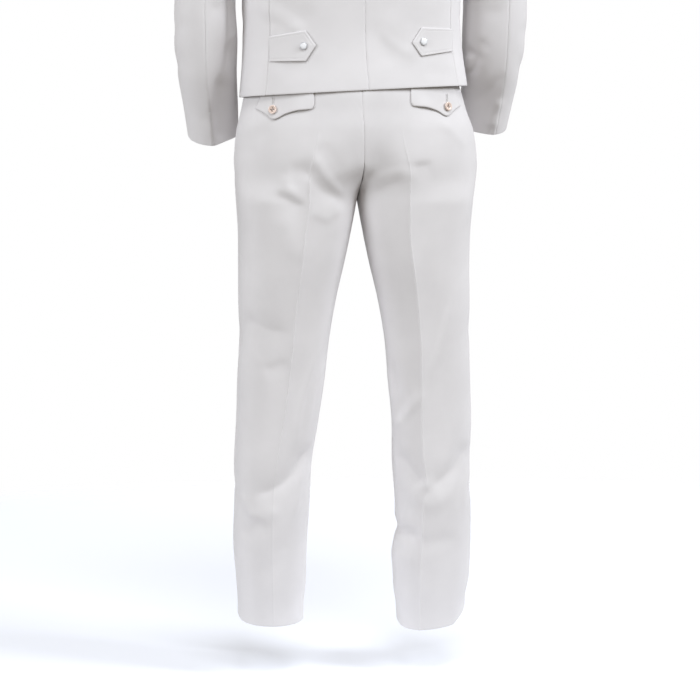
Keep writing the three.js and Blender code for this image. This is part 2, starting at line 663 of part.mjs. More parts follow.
function trouserPoint(side, turn, z) {
  const word = side > 0 ? 'left' : 'right';
  const fork = smooth((forkTop - z) / (forkTop - forkEnd)) ** forkBend;
  const spot = pelvisPoint(turn, z).lerp(legPoint(legRows[word], turn, z), fork);
  const lean = column(pelvisRows, z, 'lean') * (1 - fork);
  const centre = new THREE.Vector3(legMiddle * fork, 0, z);
  const away = spot.clone().sub(centre).normalize();
  spot.addScaledVector(away, foldHeight(legFolds[word], turn, z, legTurn));
  spot.x = side * Math.max(spot.x, 0) + lean;
  return spot;
}

const hipLevels = [bandZ - 2 * seamGap, -80, -98, forkTop, -150, -175, -196, -215, -233, crotchZ];
const legLevels = [-275, -330, -395, -470, -545, -610, -655, -690, -725, -760, -795, -830, -875, -925, -970];
const legBottom = -1014;
const trouserLevels = [...hipLevels, ...legLevels, legBottom].reverse(); // from the hem up

function trouserPanel(side, name, fromTurn, toTurn, columns) {
  const word = side > 0 ? 'left' : 'right';
  const hem = legHem[word];
  const surface = (across, up) => {
    const z = levelAt(trouserLevels, up);
    const spot = trouserPoint(side, mix(fromTurn, toTurn, across), z);
    const low = clamp((legHem.start - z) / (legHem.start - legBottom), 0, 1);
    const reach = Math.abs(spot.x);
    const flick = hem.flick * Math.max(reach - legHem.flickFrom, 0);
    const slope = hem.outwards * (reach - legHem.middle) + hem.backwards * spot.y + flick;
    spot.z += low * (hem.z - legBottom + slope);
    return spot;
  };
  return clothWall(name, surface, {
    acrossStops: evenStops(columns), upStops: levelStops(trouserLevels), side,
  });
}

// A spot on the seat above the fork, `reach` out from the middle.
function seatPoint(side, reach, z) {
  const share = clamp((reach - side * column(pelvisRows, z, 'lean')) / column(pelvisRows, z, 'half'), 0, 1);
  const near = Math.asin(share ** (pelvisSquare / 2)) / quarter;
  const rest = 1 - seatBias;
  return trouserPoint(side, (Math.sqrt(seatBias ** 2 + 4 * rest * near) - seatBias) / (2 * rest), z);
}

function pocketFlap(side, word) {
  const surface = (across, up) => {
    const low = flap.point[word] + column(flap.edge, across, 'drop');
    const reach = flap.shift[word] + mix(flap.inner, mix(flap.outer, flap.outerTop, up), across);
    return seatPoint(side, reach, mix(low, flap.top, up));
  };
  return clothWall(`pocket_flap_${word}`, surface, {
    acrossStops: flapStops,
    upStops: evenStops(3),
    side,
    lift: softGap + trimWall,
    thickness: trimWall,
  });
}

function flapButton(side, word) {
  const surface = (reach, z) => seatPoint(side, reach, z);
  const z = flap.point[word] + button.abovePoint;
  const reach = button.x + flap.shift[word];
  const away = outward(surface, reach, z, side);
  const place = surface(reach, z).addScaledVector(away, softGap + trimWall + 2 * layGap);
  return fastener(`flap_button_${word}`, place, away, button, rose);
}

// A spot on the waist: turn runs from the right front (-2) round the back (0) to the left front (2).
function waistPoint(turn, z) {
  const spot = pelvisPoint(Math.abs(turn), z);
  spot.x = Math.sign(turn) * spot.x + column(pelvisRows, z, 'lean');
  return spot;
}

function waistband() {
  const surface = (across, up) => waistPoint(mix(-2, 2, across), mix(bandZ, 0, up));
  return clothWall('waistband', surface, { acrossStops: evenStops(26), upStops: [0, 1] });
}

function waistButton() {
  const away = outward(waistPoint, waistButtonTurn, bandZ / 2, 1);
  const place = waistPoint(waistButtonTurn, bandZ / 2).addScaledVector(away, layGap);
  return fastener('waist_button', place, away, button, rose);
}

// The strip that covers the front opening, narrowing to its foot.
function flyStrip() {
  const surface = (across, up) => {
    const z = mix(fly.bottom, fly.top, up);
    const width = fly.width * smooth(fly.foot + up * fly.spread);
    return trouserPoint(1, mix(2 - width, 2, across), z);
  };
  return clothWall('fly_strip', surface, {
    acrossStops: evenStops(4),
    upStops: evenStops(7),
    lift: softGap + layGap + trimWall,
    thickness: trimWall,
  });
}

for (const [side, word] of sides) {
  suit.add(trouserPanel(side, `trouser_back_${word}`, 0, 1, 8));
  suit.add(trouserPanel(side, `trouser_front_${word}`, 1, 2, 7));
  suit.add(pocketFlap(side, word), flapButton(side, word));
}
suit.add(waistband(), waistButton(), flyStrip());

export default suit;
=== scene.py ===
import math
import bmesh
import bpy
import numpy as np
from mathutils import Matrix, Vector


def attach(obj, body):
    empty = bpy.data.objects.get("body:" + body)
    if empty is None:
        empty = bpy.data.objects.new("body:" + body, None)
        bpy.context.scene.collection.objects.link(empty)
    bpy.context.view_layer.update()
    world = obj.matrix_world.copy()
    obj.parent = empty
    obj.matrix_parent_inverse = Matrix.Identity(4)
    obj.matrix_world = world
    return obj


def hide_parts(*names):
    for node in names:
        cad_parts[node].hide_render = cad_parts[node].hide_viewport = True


# A western suit seen from behind: waist-length jacket with side tabs over pressed trousers.
# Tables and sizes are in millimetres, x to the wearer's left, the front at -y, z up from the waist.

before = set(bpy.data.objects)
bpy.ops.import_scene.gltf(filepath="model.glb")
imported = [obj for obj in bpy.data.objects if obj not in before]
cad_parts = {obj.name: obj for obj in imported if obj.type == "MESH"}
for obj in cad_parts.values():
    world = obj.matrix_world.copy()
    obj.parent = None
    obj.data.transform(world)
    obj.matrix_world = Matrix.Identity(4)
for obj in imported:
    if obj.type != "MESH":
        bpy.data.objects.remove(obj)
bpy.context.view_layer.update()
metre = 0.001  # one millimetre of the tables


def table(names, rows):  # columns by name, rows running upwards in z
    return {name: np.array(values, float) for name, values in zip(names.split(), zip(*rows))}


def mix(low, high, share):
    return low + (high - low) * share


def smooth(share):
    share = np.clip(share, 0, 1)
    return share * share * (3 - 2 * share)


def bend(value, exponent):
    return np.sign(value) * np.abs(value) ** exponent


def column(rows, z, name):  # smooth value of one column at the heights z
    heights, values = rows["z"], rows[name]
    last = len(heights) - 1
    low = np.clip(np.searchsorted(heights, z) - 1, 0, last - 1)
    high, before, after = low + 1, np.maximum(low - 1, 0), np.minimum(low + 2, last)
    span = heights[high] - heights[low]
    share = np.clip((z - heights[low]) / span, 0, 1)
    slopeLow = (values[high] - values[before]) / (heights[high] - heights[before]) * span
    slopeHigh = (values[after] - values[low]) / (heights[after] - heights[low]) * span
    rise = values[high] - values[low]
    cubic = slopeLow + slopeHigh - 2 * rise
    return values[low] + share * (slopeLow + share * (3 * rise - 2 * slopeLow - slopeHigh + share * cubic))


def point(x, y, z):
    return np.stack(np.broadcast_arrays(x, y, z), axis=-1).astype(float)


def outward(surface, across, up, side=1, step=0.002):  # unit normals that face out of the garment
    acrossSlope = surface(across + step, up) - surface(across - step, up)
    upSlope = surface(across, up + step) - surface(across, up - step)
    normal = np.cross(upSlope, acrossSlope) * side
    return normal / np.maximum(np.linalg.norm(normal, axis=-1, keepdims=True), 1e-12)


def alongPath(spots, path):  # distance, side and share of the way along a path of 2-D spots
    path = np.array(path, float)
    lengths = np.linalg.norm(np.diff(path, axis=0), axis=1)
    starts = np.concatenate([[0], np.cumsum(lengths)])
    best = np.full(len(spots), 1e9)
    signed, share = np.zeros(len(spots)), np.zeros(len(spots))
    for i, length in enumerate(lengths):
        run = (path[i + 1] - path[i]) / length
        offset = spots - path[i]
        along = np.clip(offset @ run, 0, length)
        apart = offset - along[:, None] * run
        distance = np.linalg.norm(apart, axis=1)
        nearer = distance < best
        best = np.where(nearer, distance, best)
        signed = np.where(nearer, np.sign(run[0] * apart[:, 1] - run[1] * apart[:, 0]), signed)
        share = np.where(nearer, (starts[i] + along) / starts[-1], share)
    return best, signed, share


faces = {  # which way a fold looks, and the two coordinates of its path
    "back": (Vector((0, 1, 0)), (0, 2)), "front": (Vector((0, -1, 0)), (0, 2)),
    "left": (Vector((1, 0, 0)), (1, 2)), "right": (Vector((-1, 0, 0)), (1, 2)),
}


def fold(height, widths, *path, **rest):  # rest: the face it looks at, crest, ends, fades
    return {"height": height, "widths": widths, "path": path, **rest}


def foldRelief(folds, spots, normals):  # soft ridges and troughs laid on the cloth
    total = np.zeros(len(spots))
    for fold in folds:
        looks, pair = faces[fold.get("face", "back")]
        facing = smooth((normals @ np.array(looks) - 0.05) / 0.45)
        distance, signed, share = alongPath(spots[:, pair], fold["path"])
        wide = np.where(signed > 0, fold["widths"][0], fold["widths"][1])  # left and right of the path's run
        ends = fold.get("ends", 0.3)
        taper = smooth(share / ends) * smooth((1 - share) / ends) if ends else 1
        if "fades" in fold:  # keeps full height at its start
            taper = smooth((1 - share) / fold["fades"])
        shape = np.exp(-((distance / wide) ** fold.get("crest", 2)))
        total += fold["height"] * shape * taper * facing
    return total


def drift(spots, size, reach, seed):  # very soft unevenness of hanging cloth
    x, y, z = spots.T / reach
    waves = np.sin(1.3 * x + 0.9 * z + seed) + np.sin(-0.8 * x + 1.1 * y + 0.55 * z + 2.1 * seed)
    waves += 0.7 * np.sin(2.1 * x - 1.7 * y - 0.8 * z + 1.7 * seed)
    waves += 0.5 * np.sin(1.7 * z + 2.9 * y + 0.4 * seed)
    return size * waves / 3.2


def hemRoll(distance, depth):  # the cloth rounds in at a turned hem
    return depth * np.exp(-((distance / 1.2) ** 2))


def clothStops(length, cell, close=True, crease=None):  # shares along an edge, closer together at the seams
    near = [0, 0.4, 1, 1.9, 3.2, 5.2] if close else [0]  # distance from the seam
    if crease:  # and beside a pressed edge, at that share of the way
        half = clothStops(crease * length, cell) * crease
        rest = clothStops((1 - crease) * length, cell) * (1 - crease) + crease
        return np.concatenate([half, rest[1:]])
    count = max(int(round((length - 2 * near[-1]) / cell)), 1)
    middle = list(np.linspace(near[-1], length - near[-1], count + 1))
    return np.array(near[:-1] + middle + [length - spot for spot in reversed(near[:-1])]) / length


def newMaterial(name, **values):
    material = bpy.data.materials.new(name)
    material.use_nodes = True
    shader = material.node_tree.nodes["Principled BSDF"]
    for socket, value in values.items():
        shader.inputs[socket.replace("_", " ")].default_value = value
    return material, material.node_tree, shader


def addNode(tree, kind, **values):
    node = tree.nodes.new(kind)
    for name, value in values.items():
        if hasattr(node, name):
            setattr(node, name, value)
        else:
            node.inputs[name.replace("_", " ")].default_value = value
    return node


def nodeGroup(name, inputs, outputs):
    group = bpy.data.node_groups.new(name, "ShaderNodeTree")
    for socket, kind, value in inputs:
        made = group.interface.new_socket(name=socket, in_out="INPUT", socket_type=kind)
        if value is not None:
            made.default_value = value
    for socket, kind in outputs:
        group.interface.new_socket(name=socket, in_out="OUTPUT", socket_type=kind)
    return group, group.nodes.new("NodeGroupInput"), group.nodes.new("NodeGroupOutput")


twill = {  # one yarn and how far the rib wavers, with the size of each unevenness
    "slant": 1.75, "yarn": 0.42, "waver": 2.4, "waverScale": 260.0, "slubScale": 900.0, "broadScale": 9.0,
}


def twillGroup():  # fine diagonal rib of the cloth, with slubs and a soft uneven tone
    group, source, sink = nodeGroup(
        "twillWeave",
        [("Cloth", "NodeSocketVector", None), ("Rib", "NodeSocketFloat", 0.7),
         ("Slub", "NodeSocketFloat", 0.3)],
        [("Height", "NodeSocketFloat"), ("Tone", "NodeSocketFloat")],
    )
    links = group.links

    def calc(operation, first, second=0.0):
        node = addNode(group, "ShaderNodeMath", operation=operation)
        for socket, value in zip(node.inputs, (first, second)):
            if isinstance(value, float):
                socket.default_value = value
            else:
                links.new(value, socket)
        return node.outputs[0]

    def noise(scale, detail, roughness):
        node = addNode(group, "ShaderNodeTexNoise", Scale=scale, Detail=detail, Roughness=roughness)
        links.new(source.outputs["Cloth"], node.inputs["Vector"])
        return node.outputs[0]

    apart = addNode(group, "ShaderNodeSeparateXYZ")
    links.new(source.outputs["Cloth"], apart.inputs[0])
    waver = noise(twill["waverScale"], 2.0, 0.6)
    slanted = calc("ADD", calc("MULTIPLY", apart.outputs[0], twill["slant"]), apart.outputs[1])
    turns = calc("DIVIDE", calc("MULTIPLY", slanted, 1000.0 * math.pi), source.outputs["Rib"])
    rib = calc("SINE", calc("ADD", turns, calc("MULTIPLY", waver, twill["waver"])))
    yarn = calc("SINE", calc("MULTIPLY", apart.outputs[0], 1000.0 * math.tau / twill["yarn"]))
    slubs = noise(twill["slubScale"], 3.0, 0.7)
    fine = calc("ADD", calc("MULTIPLY", rib, 0.5), calc("MULTIPLY", yarn, 0.22))
    height = calc("ADD", fine, calc("MULTIPLY", slubs, source.outputs["Slub"]))
    links.new(height, sink.inputs["Height"])
    broad = noise(twill["broadScale"], 4.0, 0.55)
    tone = calc("ADD", calc("MULTIPLY", broad, 0.75), calc("MULTIPLY", slubs, 0.25))
    links.new(tone, sink.inputs["Tone"])
    return group


twillWeave = twillGroup()
stoneTwill = {
    "light": (0.735, 0.711, 0.715), "dark": (0.665, 0.643, 0.646), "rib": 0.75, "slub": 0.35, "depth": 0.05,
    "roughness": 0.82,
}


def cloudyTone(tree, shader, source, low, high, dark, light):  # base colour between two tones
    tones = addNode(tree, "ShaderNodeValToRGB")
    ends = tones.color_ramp.elements
    ends[0].position, ends[0].color = low, (*dark, 1)
    ends[1].position, ends[1].color = high, (*light, 1)
    tree.links.new(source, tones.inputs[0])
    tree.links.new(tones.outputs[0], shader.inputs["Base Color"])


def clothMaterial(name, finish):
    material, tree, shader = newMaterial(
        name, Roughness=finish["roughness"], Sheen_Weight=0.25, Sheen_Roughness=0.45, Specular_IOR_Level=0.25
    )
    cloth = addNode(tree, "ShaderNodeUVMap", uv_map="cloth")
    weave = addNode(tree, "ShaderNodeGroup", node_tree=twillWeave, Rib=finish["rib"], Slub=finish["slub"])
    tree.links.new(cloth.outputs[0], weave.inputs["Cloth"])
    cloudyTone(tree, shader, weave.outputs["Tone"], 0.3, 0.7, finish["dark"], finish["light"])
    bump = addNode(tree, "ShaderNodeBump", Strength=0.35, Distance=finish["depth"] * metre)
    tree.links.new(weave.outputs["Height"], bump.inputs["Height"])
    tree.links.new(bump.outputs[0], shader.inputs["Normal"])
    return material


def spotMaterial(name, light, dark, scale, **values):  # a finish with a soft cloudy tone
    material, tree, shader = newMaterial(name, **values)
    place = addNode(tree, "ShaderNodeTexCoord")
    clouds = addNode(tree, "ShaderNodeTexNoise", Scale=scale, Detail=3.0, Distortion=1.5)
    tree.links.new(place.outputs["Object"], clouds.inputs["Vector"])
    cloudyTone(tree, shader, clouds.outputs[0], 0.35, 0.65, dark, light)
    return material


clothTwill = clothMaterial("stoneTwill", stoneTwill)
pearl = spotMaterial("snapPearl", (0.90, 0.895, 0.90), (0.78, 0.79, 0.82), 320.0,
                     Roughness=0.2, Coat_Weight=0.6)
silver = spotMaterial("snapRim", (0.72, 0.73, 0.75), (0.56, 0.57, 0.60), 500.0,
                      Roughness=0.32, Metallic=0.8)
roseHorn = spotMaterial("roseButton", (0.82, 0.67, 0.59), (0.72, 0.56, 0.48), 260.0,
                        Roughness=0.32, Coat_Weight=0.3)
buttonThread = spotMaterial("buttonThread", (0.16, 0.10, 0.08), (0.09, 0.055, 0.045), 900.0, Roughness=0.8)
sewingThread = spotMaterial("sewingThread", (0.80, 0.79, 0.78), (0.72, 0.71, 0.70), 900.0, Roughness=0.7)
print("materials made")


clothWall = 1.5  # thickness of the shell
seam = {  # gap between two panels, how the edge turns in to it, and the pull of the thread beside it
    "gap": 0.2, "dip": 0.75, "dipReach": 1.5, "pull": 0.22, "pullReach": 7, "wave": 5.3, "sway": 31,
}


def addObject(name, data):
    made = bpy.data.objects.new(name, data)
    bpy.context.collection.objects.link(made)
    return made


def clothPanel(name, node, surface, width, length, side=1, relief=None, lift=0, cell=4.0, wall=clothWall,
               seams="lr", close=True, cut=None, held="draped", draw=True, crease=None):
    acrossStops, upStops = clothStops(width, cell, close, crease), clothStops(length, cell, close)
    bm = bmesh.new()
    bmesh.ops.create_grid(bm, x_segments=len(acrossStops) - 1, y_segments=len(upStops) - 1, size=0.5)
    if side > 0:
        bmesh.ops.reverse_faces(bm, faces=bm.faces)
    mesh = bpy.data.meshes.new(name)
    bm.to_mesh(mesh)
    bm.free()
    grid = np.zeros(len(mesh.vertices) * 3)
    mesh.vertices.foreach_get("co", grid)
    grid = grid.reshape(-1, 3) + 0.5
    across = np.interp(grid[:, 0], np.linspace(0, 1, len(acrossStops)), acrossStops)
    up = np.interp(grid[:, 1], np.linspace(0, 1, len(upStops)), upStops)
    spots = surface(across, up)
    normals = outward(surface, across, up, side)
    shape = (len(upStops), len(acrossStops))
    rows = spots.reshape(*shape, 3)
    stepsAcross = np.linalg.norm(np.diff(rows, axis=1), axis=2)
    stepsUp = np.linalg.norm(np.diff(rows, axis=0), axis=2)
    fromLeft = np.concatenate([np.zeros((shape[0], 1)), np.cumsum(stepsAcross, axis=1)], axis=1)
    fromBottom = np.concatenate([np.zeros((1, shape[1])), np.cumsum(stepsUp, axis=0)], axis=0)
    fromRight = fromLeft[:, -1:] - fromLeft
    fromTop = fromBottom[-1:] - fromBottom
    edges = {"l": fromLeft.ravel(), "r": fromRight.ravel(), "b": fromBottom.ravel(), "t": fromTop.ravel()}
    if crease:
        line = int(np.argmin(np.abs(acrossStops - crease)))
        edges["c"] = np.repeat(fromLeft[:, line], shape[1])
    height = np.full(len(spots), float(lift))
    if relief:
        height += relief(spots, normals, across, up, edges)
    for letter in seams:  # the edge turns in to the seam, and the cloth beside it is drawn up a little
        sway = 2 * np.sin(edges["b"] / seam["sway"])
        pull = 0.5 + 0.5 * np.sin(edges["b"] / seam["wave"] + sway + len(name))
        dip = seam["dip"] * np.exp(-((edges[letter] / seam["dipReach"]) ** 2))
        height -= dip + seam["pull"] * pull * np.exp(-edges[letter] / seam["pullReach"])
    spots = spots + normals * height[:, None]
    if draw:
        rows = spots.reshape(*shape, 3)
        for edge, inner in ((rows[:, 0], rows[:, 1]), (rows[:, -1], rows[:, -2])):
            run = inner - edge
            edge += run / np.maximum(np.linalg.norm(run, axis=-1, keepdims=True), 1e-6) * seam["gap"] / 2
        spots = rows.reshape(-1, 3)
    mesh.vertices.foreach_set("co", (spots * metre).ravel())
    middle = fromLeft[:, shape[1] // 2][:, None]
    cloth = np.stack([(fromLeft - middle).ravel(), fromBottom.ravel()], axis=-1) * metre
    loops = np.zeros(len(mesh.loops), int)
    mesh.loops.foreach_get("vertex_index", loops)
    layer = mesh.uv_layers.new(name="cloth")
    layer.data.foreach_set("uv", cloth[loops].ravel())
    mesh.polygons.foreach_set("use_smooth", np.ones(len(mesh.polygons), bool))
    mesh.materials.append(clothTwill)
    mesh.update()
    piece = addObject(name, mesh)
    thick = piece.modifiers.new("wall", "SOLIDIFY")
    thick.thickness = wall * metre
    thick.offset = -1
    thick.use_rim = True
    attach(piece, "root")
    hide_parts(node)


jacketRows = table("z half back front lean square", [
    (-64, 204, 117, 122, 4, 2.55), (20, 196, 112, 119, 6, 2.3), (98, 195, 116, 121, 7, 2.3),
    (180, 191, 124, 127, 5, 2.3), (250, 187, 130, 132, 3, 2.3), (320, 193, 131, 128, 2, 2.2),
    (400, 214, 119, 106, 1, 2.1), (455, 229, 99, 76, 0, 2), (490, 150, 83, 55, 0, 2),
    (518, 76, 68, 44, 0, 2),
])
jacket = {
    "hemZ": -64, "hemTilt": -0.052, "tiltReach": 170, "seamBend": 60, "seamTop": 300, "shoulderTip": 455,
    "neckTop": 518, "rollZ": 60, "rollBow": 0.9, "overlap": 16, "neckHalf": 76, "sideFront": 0.335,
    "sideBack": {"left": 0.14, "right": 0.158}, "centreBack": -0.004,
    "uneven": (0.8, 62, 1.4), "calmBelow": -80, "calmFade": 60, "hemRoll": 0.5,
}
armhole = {"z": 363, "y": 2, "half": 92, "depth": 62}
lapStep = {"full": 30, "ends": 70, "fullZ": 160, "endsZ": 220, "step": 2.8}


def jacketPoint(turn, z):
    angle = math.tau * turn
    power = 2 / column(jacketRows, z, "square")
    toBack = np.cos(angle) > 0
    depth = np.where(toBack, column(jacketRows, z, "back"), column(jacketRows, z, "front"))
    x = column(jacketRows, z, "lean") + column(jacketRows, z, "half") * bend(np.sin(angle), power)
    fade = np.clip(1 - (z - jacket["hemZ"]) / jacket["tiltReach"], 0, 1)
    return point(x, depth * bend(np.cos(angle), power), z + jacket["hemTilt"] * x * fade)


def jacketTurn(side, reach, z, onFront=False):
    share = np.clip((reach - side * column(jacketRows, z, "lean")) / column(jacketRows, z, "half"), -1, 1)
    turn = np.arcsin(bend(share, column(jacketRows, z, "square") / 2)) / math.tau
    return 0.5 - turn if onFront else turn


def sideTurn(y, z):
    depth = np.where(y > 0, column(jacketRows, z, "back"), column(jacketRows, z, "front"))
    share = np.clip(np.abs(y) / depth, 0, 1) ** (column(jacketRows, z, "square") / 2)
    return 0.25 - np.sign(y) * np.arcsin(share) / math.tau


def armholeTurn(z, facing):
    rise = np.clip((z - armhole["z"]) / armhole["half"], -1, 1)
    return sideTurn(armhole["y"] + facing * armhole["depth"] * np.sqrt(1 - rise * rise), z)


def outerEdge(z, seamTurn, facing):
    onArmhole = armholeTurn(np.maximum(z, jacket["seamTop"]), facing)
    share = np.clip((z - jacket["seamBend"]) / (jacket["seamTop"] - jacket["seamBend"]), 0, 1)
    edge = np.where(z >= jacket["seamTop"], onArmhole, mix(seamTurn, onArmhole, share * share))
    return np.where(z >= jacket["shoulderTip"], 0.25, edge)


def frontEdge(z):
    share = np.clip((z - jacket["rollZ"]) / (jacket["neckTop"] - jacket["rollZ"]), 0, 1)
    return mix(-jacket["overlap"], jacket["neckHalf"], share ** jacket["rollBow"])


def frontPoint(side, turn, z):
    spot = jacketPoint(side * turn, z)
    nearEdge = smooth((lapStep["ends"] - side * spot[..., 0]) / (lapStep["ends"] - lapStep["full"]))
    nearFoot = smooth((lapStep["endsZ"] - z) / (lapStep["endsZ"] - lapStep["fullZ"]))
    if side > 0:
        spot[..., 1] -= lapStep["step"] * nearEdge * nearFoot
    return spot


jacketFolds = [
    fold(-1.8, (12, 22), (168, 104), (128, 76), (84, 44)),
    fold(1.3, (9, 10), (188, 92), (160, 68), (128, 46), (100, 32)),
    fold(1.1, (14, 14), (188, 2), (160, -22), (136, -48)),
    fold(0.9, (9, 9), (-20, 50), (-43, 23), (-68, 6), (-98, -8)),
    fold(-1.2, (10, 14), (178, 45), (150, 55), (118, 42)),
    fold(1.6, (20, 24), (-30, 74), (-62, 36), (-96, -20)),
    fold(-1.1, (18, 16), (-10, 60), (-30, 20), (-48, -30)),
    fold(-0.9, (14, 18), (60, 0), (100, -28), (168, -36)),
    fold(-1.0, (12, 16), (-100, -30), (-140, -38), (-185, -30)),
    fold(-2.4, (18, 22), (150, 250), (110, 190), (90, 130)),
    fold(-2.2, (22, 18), (-150, 245), (-112, 185), (-95, 120)),
    fold(-1.6, (18, 26), (60, 160), (0, 172), (-62, 160)),
    fold(-1.8, (22, 20), (96, 330), (60, 300), (40, 240)),
    fold(-1.6, (20, 24), (-96, 330), (-64, 296), (-44, 232)),
    fold(-1.4, (16, 20), (70, 455), (0, 462), (-70, 455)),
    fold(-2.2, (20, 24), (160, 300), (110, 210), (40, 110), face="front"),
    fold(-2.0, (24, 18), (-160, 300), (-112, 214), (-46, 112), face="front"),
    fold(-1.5, (16, 18), (150, 60), (100, 30), (40, 24), face="front"),
    fold(-1.3, (18, 14), (-150, 52), (-98, 26), (-44, 20), face="front"),
    fold(-2.0, (14, 18), (40, 262), (0, 220), (-34, 190), face="left"),
    fold(-2.2, (16, 14), (44, 258), (6, 214), (-30, 186), face="right"),
    fold(-1.4, (14, 16), (50, 70), (0, 52), (-40, 62), face="left"),
    fold(-1.4, (16, 14), (48, 80), (4, 60), (-44, 66), face="right"),
]


def jacketRelief(spots, normals, across, up, edges):
    height = foldRelief(jacketFolds, spots, normals) + drift(spots, *jacket["uneven"])
    calm = smooth((spots[:, 2] - jacket["calmBelow"]) / jacket["calmFade"])
    return height * calm - hemRoll(edges["b"], jacket["hemRoll"])


jacketSpans = {"back": (210, 590), "side": (150, 350), "front": (220, 590)}  # about how wide and long
jacketBackCut = {"left": (0.25, 0.62, 0.121), "right": (0.25, 0.61, 0.115)}
jacketFrontCut = {"left": (0.27, 0.62, 0.109), "right": (0.27, 0.62, 0.103)}
jacketSideCut = {"left": (0.17, 0.38, 0.055), "right": (0.16, 0.37, 0.047)}


def jacketBack(side, word):
    def surface(across, up):
        z = mix(jacket["hemZ"], jacket["neckTop"], up)
        edge = outerEdge(z, jacket["sideBack"][word], 1)
        return jacketPoint(mix(jacket["centreBack"], side * edge, across), z)

    clothPanel(f"jacketBack_{word}", f"jacket_back_{word}", surface, *jacketSpans["back"], side, jacketRelief,
               cut=jacketBackCut[word])


def jacketSide(side, word):
    scoopDepth = jacket["seamTop"] - armhole["z"] + armhole["half"]

    def surface(across, up):
        z = mix(jacket["hemZ"], jacket["seamTop"], up)
        turn = mix(outerEdge(z, jacket["sideBack"][word], 1), outerEdge(z, jacket["sideFront"], -1), across)
        scoop = np.sqrt(1 - (2 * np.clip(across, 0, 1) - 1) ** 2) * scoopDepth
        sunk = scoop * (z - jacket["hemZ"]) / (jacket["seamTop"] - jacket["hemZ"])
        return jacketPoint(side * turn, z - sunk)

    clothPanel(f"jacketSide_{word}", f"jacket_side_{word}", surface, *jacketSpans["side"], side, jacketRelief,
               cut=jacketSideCut[word])


def jacketFront(side, word):
    def surface(across, up):
        z = mix(jacket["hemZ"], jacket["neckTop"], up)
        edge = outerEdge(z, jacket["sideFront"], -1)
        return frontPoint(side, mix(edge, jacketTurn(side, frontEdge(z), z, True), across), z)

    clothPanel(f"jacketFront_{word}", f"jacket_front_{word}", surface, *jacketSpans["front"], side,
               jacketRelief, seams="l", cell=4.6, cut=jacketFrontCut[word])


sides = ((1, "left"), (-1, "right"))
for side, word in sides:
    jacketBack(side, word)
    jacketSide(side, word)
    jacketFront(side, word)
print("jacket panels made")


sleeveRows = {
    "left": table("z x y halfX halfY tilt flat reach", [
        (-143, 250, -64, 46, 46, 0.4, 1, 0), (-90, 256, -45, 49, 50, 0.36, 1, 0),
        (-30, 264, -22, 53, 55, 0.26, 0.75, 0), (30, 267, -8, 56, 58, 0.12, 0.3, 0),
        (98, 268, -2, 54, 61, 0.04, 0.1, 0), (170, 261, 0, 56, 66, 0, 0, 0), (240, 248, 2, 57, 71, 0, 0, 0),
    ]),
    "right": table("z x y halfX halfY tilt flat reach", [
        (-126, 243, -62, 45, 46, 0.36, 0.7, 0), (-75, 248, -44, 48, 50, 0.32, 0.7, 0),
        (-25, 252, -22, 51, 55, 0.24, 0.6, 4), (30, 255, -8, 55, 58, 0.12, 0.5, 7),
        (98, 256, -2, 55, 61, 0.04, 0.5, 7), (170, 252, 0, 56, 66, 0, 0.3, 3),
        (240, 248, 2, 57, 71, 0, 0, 0),
    ]),
}
sleeve = {
    "top": 240, "hind": {"left": 0.53, "right": 0.57}, "fore": {"left": 1.62, "right": 1.64},
    "swing": {"left": 0, "right": 0.05, "top": 0.5}, "flare": 4, "seat": 2.4, "insideRise": 20,
    "outsideRise": 210, "leanOut": 0.1, "swell": 150, "tuck": 22,
    "corner": {"left": 0.53, "right": 0.6},  # turn at which the flattened inner side meets the outer one
    "cornerBend": 1.3, "crowd": 30, "uneven": (0.7, 48, 2.2), "calmFrom": 360, "calmFade": 80, "headFade": 60,
    "hemRoll": 0.5,
    "rises": ([-1, 0, 0.64, 1, 2], [-0.78125, 0, 0.5, 1, 2.39]),  # spaces the rows of the arm and the head
}


def sleevePoint(side, turn, up):
    word = "left" if side > 0 else "right"
    rows, corner = sleeveRows[word], math.pi * sleeve["corner"][word]
    z = mix(rows["z"][0], sleeve["top"], np.minimum(up, 1))
    angle = math.pi * turn
    before = np.clip((np.cos(angle) - math.cos(corner)) / (1 - math.cos(corner)), 0, 1)
    chord = math.sin(corner) * (1 - before ** sleeve["cornerBend"])
    onInside = (angle > 0) & (angle < corner)
    section = mix(np.sin(angle), np.where(onInside, chord, np.sin(angle)), column(rows, z, "flat"))
    depth = section * column(rows, z, "halfY")
    crowd = column(rows, z, "reach") * smooth(-depth / sleeve["crowd"])  # the front crowds inwards
    crowd = crowd * np.maximum(np.cos(angle), 0)
    arm = point(
        column(rows, z, "x") - column(rows, z, "halfX") * np.cos(angle) - crowd,
        depth + column(rows, z, "y"),
        z - column(rows, z, "tilt") * depth,
    )
    spot = arm + headShift(arm, side, turn, np.maximum(up - 1, 0))
    spot[..., 0] *= side
    return spot


def headShift(start, side, turn, share):  # carries the ring at the underarm over to the armhole's edge
    angle = math.pi * turn
    z = armhole["z"] - (armhole["half"] + sleeve["flare"]) * np.cos(angle)
    y = armhole["y"] + (armhole["depth"] + sleeve["flare"]) * np.sin(angle)
    seat = sideTurn(y, z)
    away = outward(jacketPoint, side * seat, z)
    end = jacketPoint(side * seat, z) + away * sleeve["seat"]
    flip = np.array([side, 1, 1])
    away, end = away * flip, end * flip
    outer = (1 - np.cos(angle)) / 2
    high = mix(sleeve["insideRise"], sleeve["outsideRise"], outer)
    rise = np.array([sleeve["leanOut"], 0, 1]) * high[..., None]
    inwards = away * (-sleeve["swell"] * outer)[..., None]
    inwards[..., 2] += sleeve["tuck"] * (1 - outer) ** 3
    s = share[..., None]
    eased = start * s * s * (2 * s - 3) + end * s * s * (3 - 2 * s)
    return eased + rise * s * (1 - s) ** 2 + inwards * s * s * (s - 1)


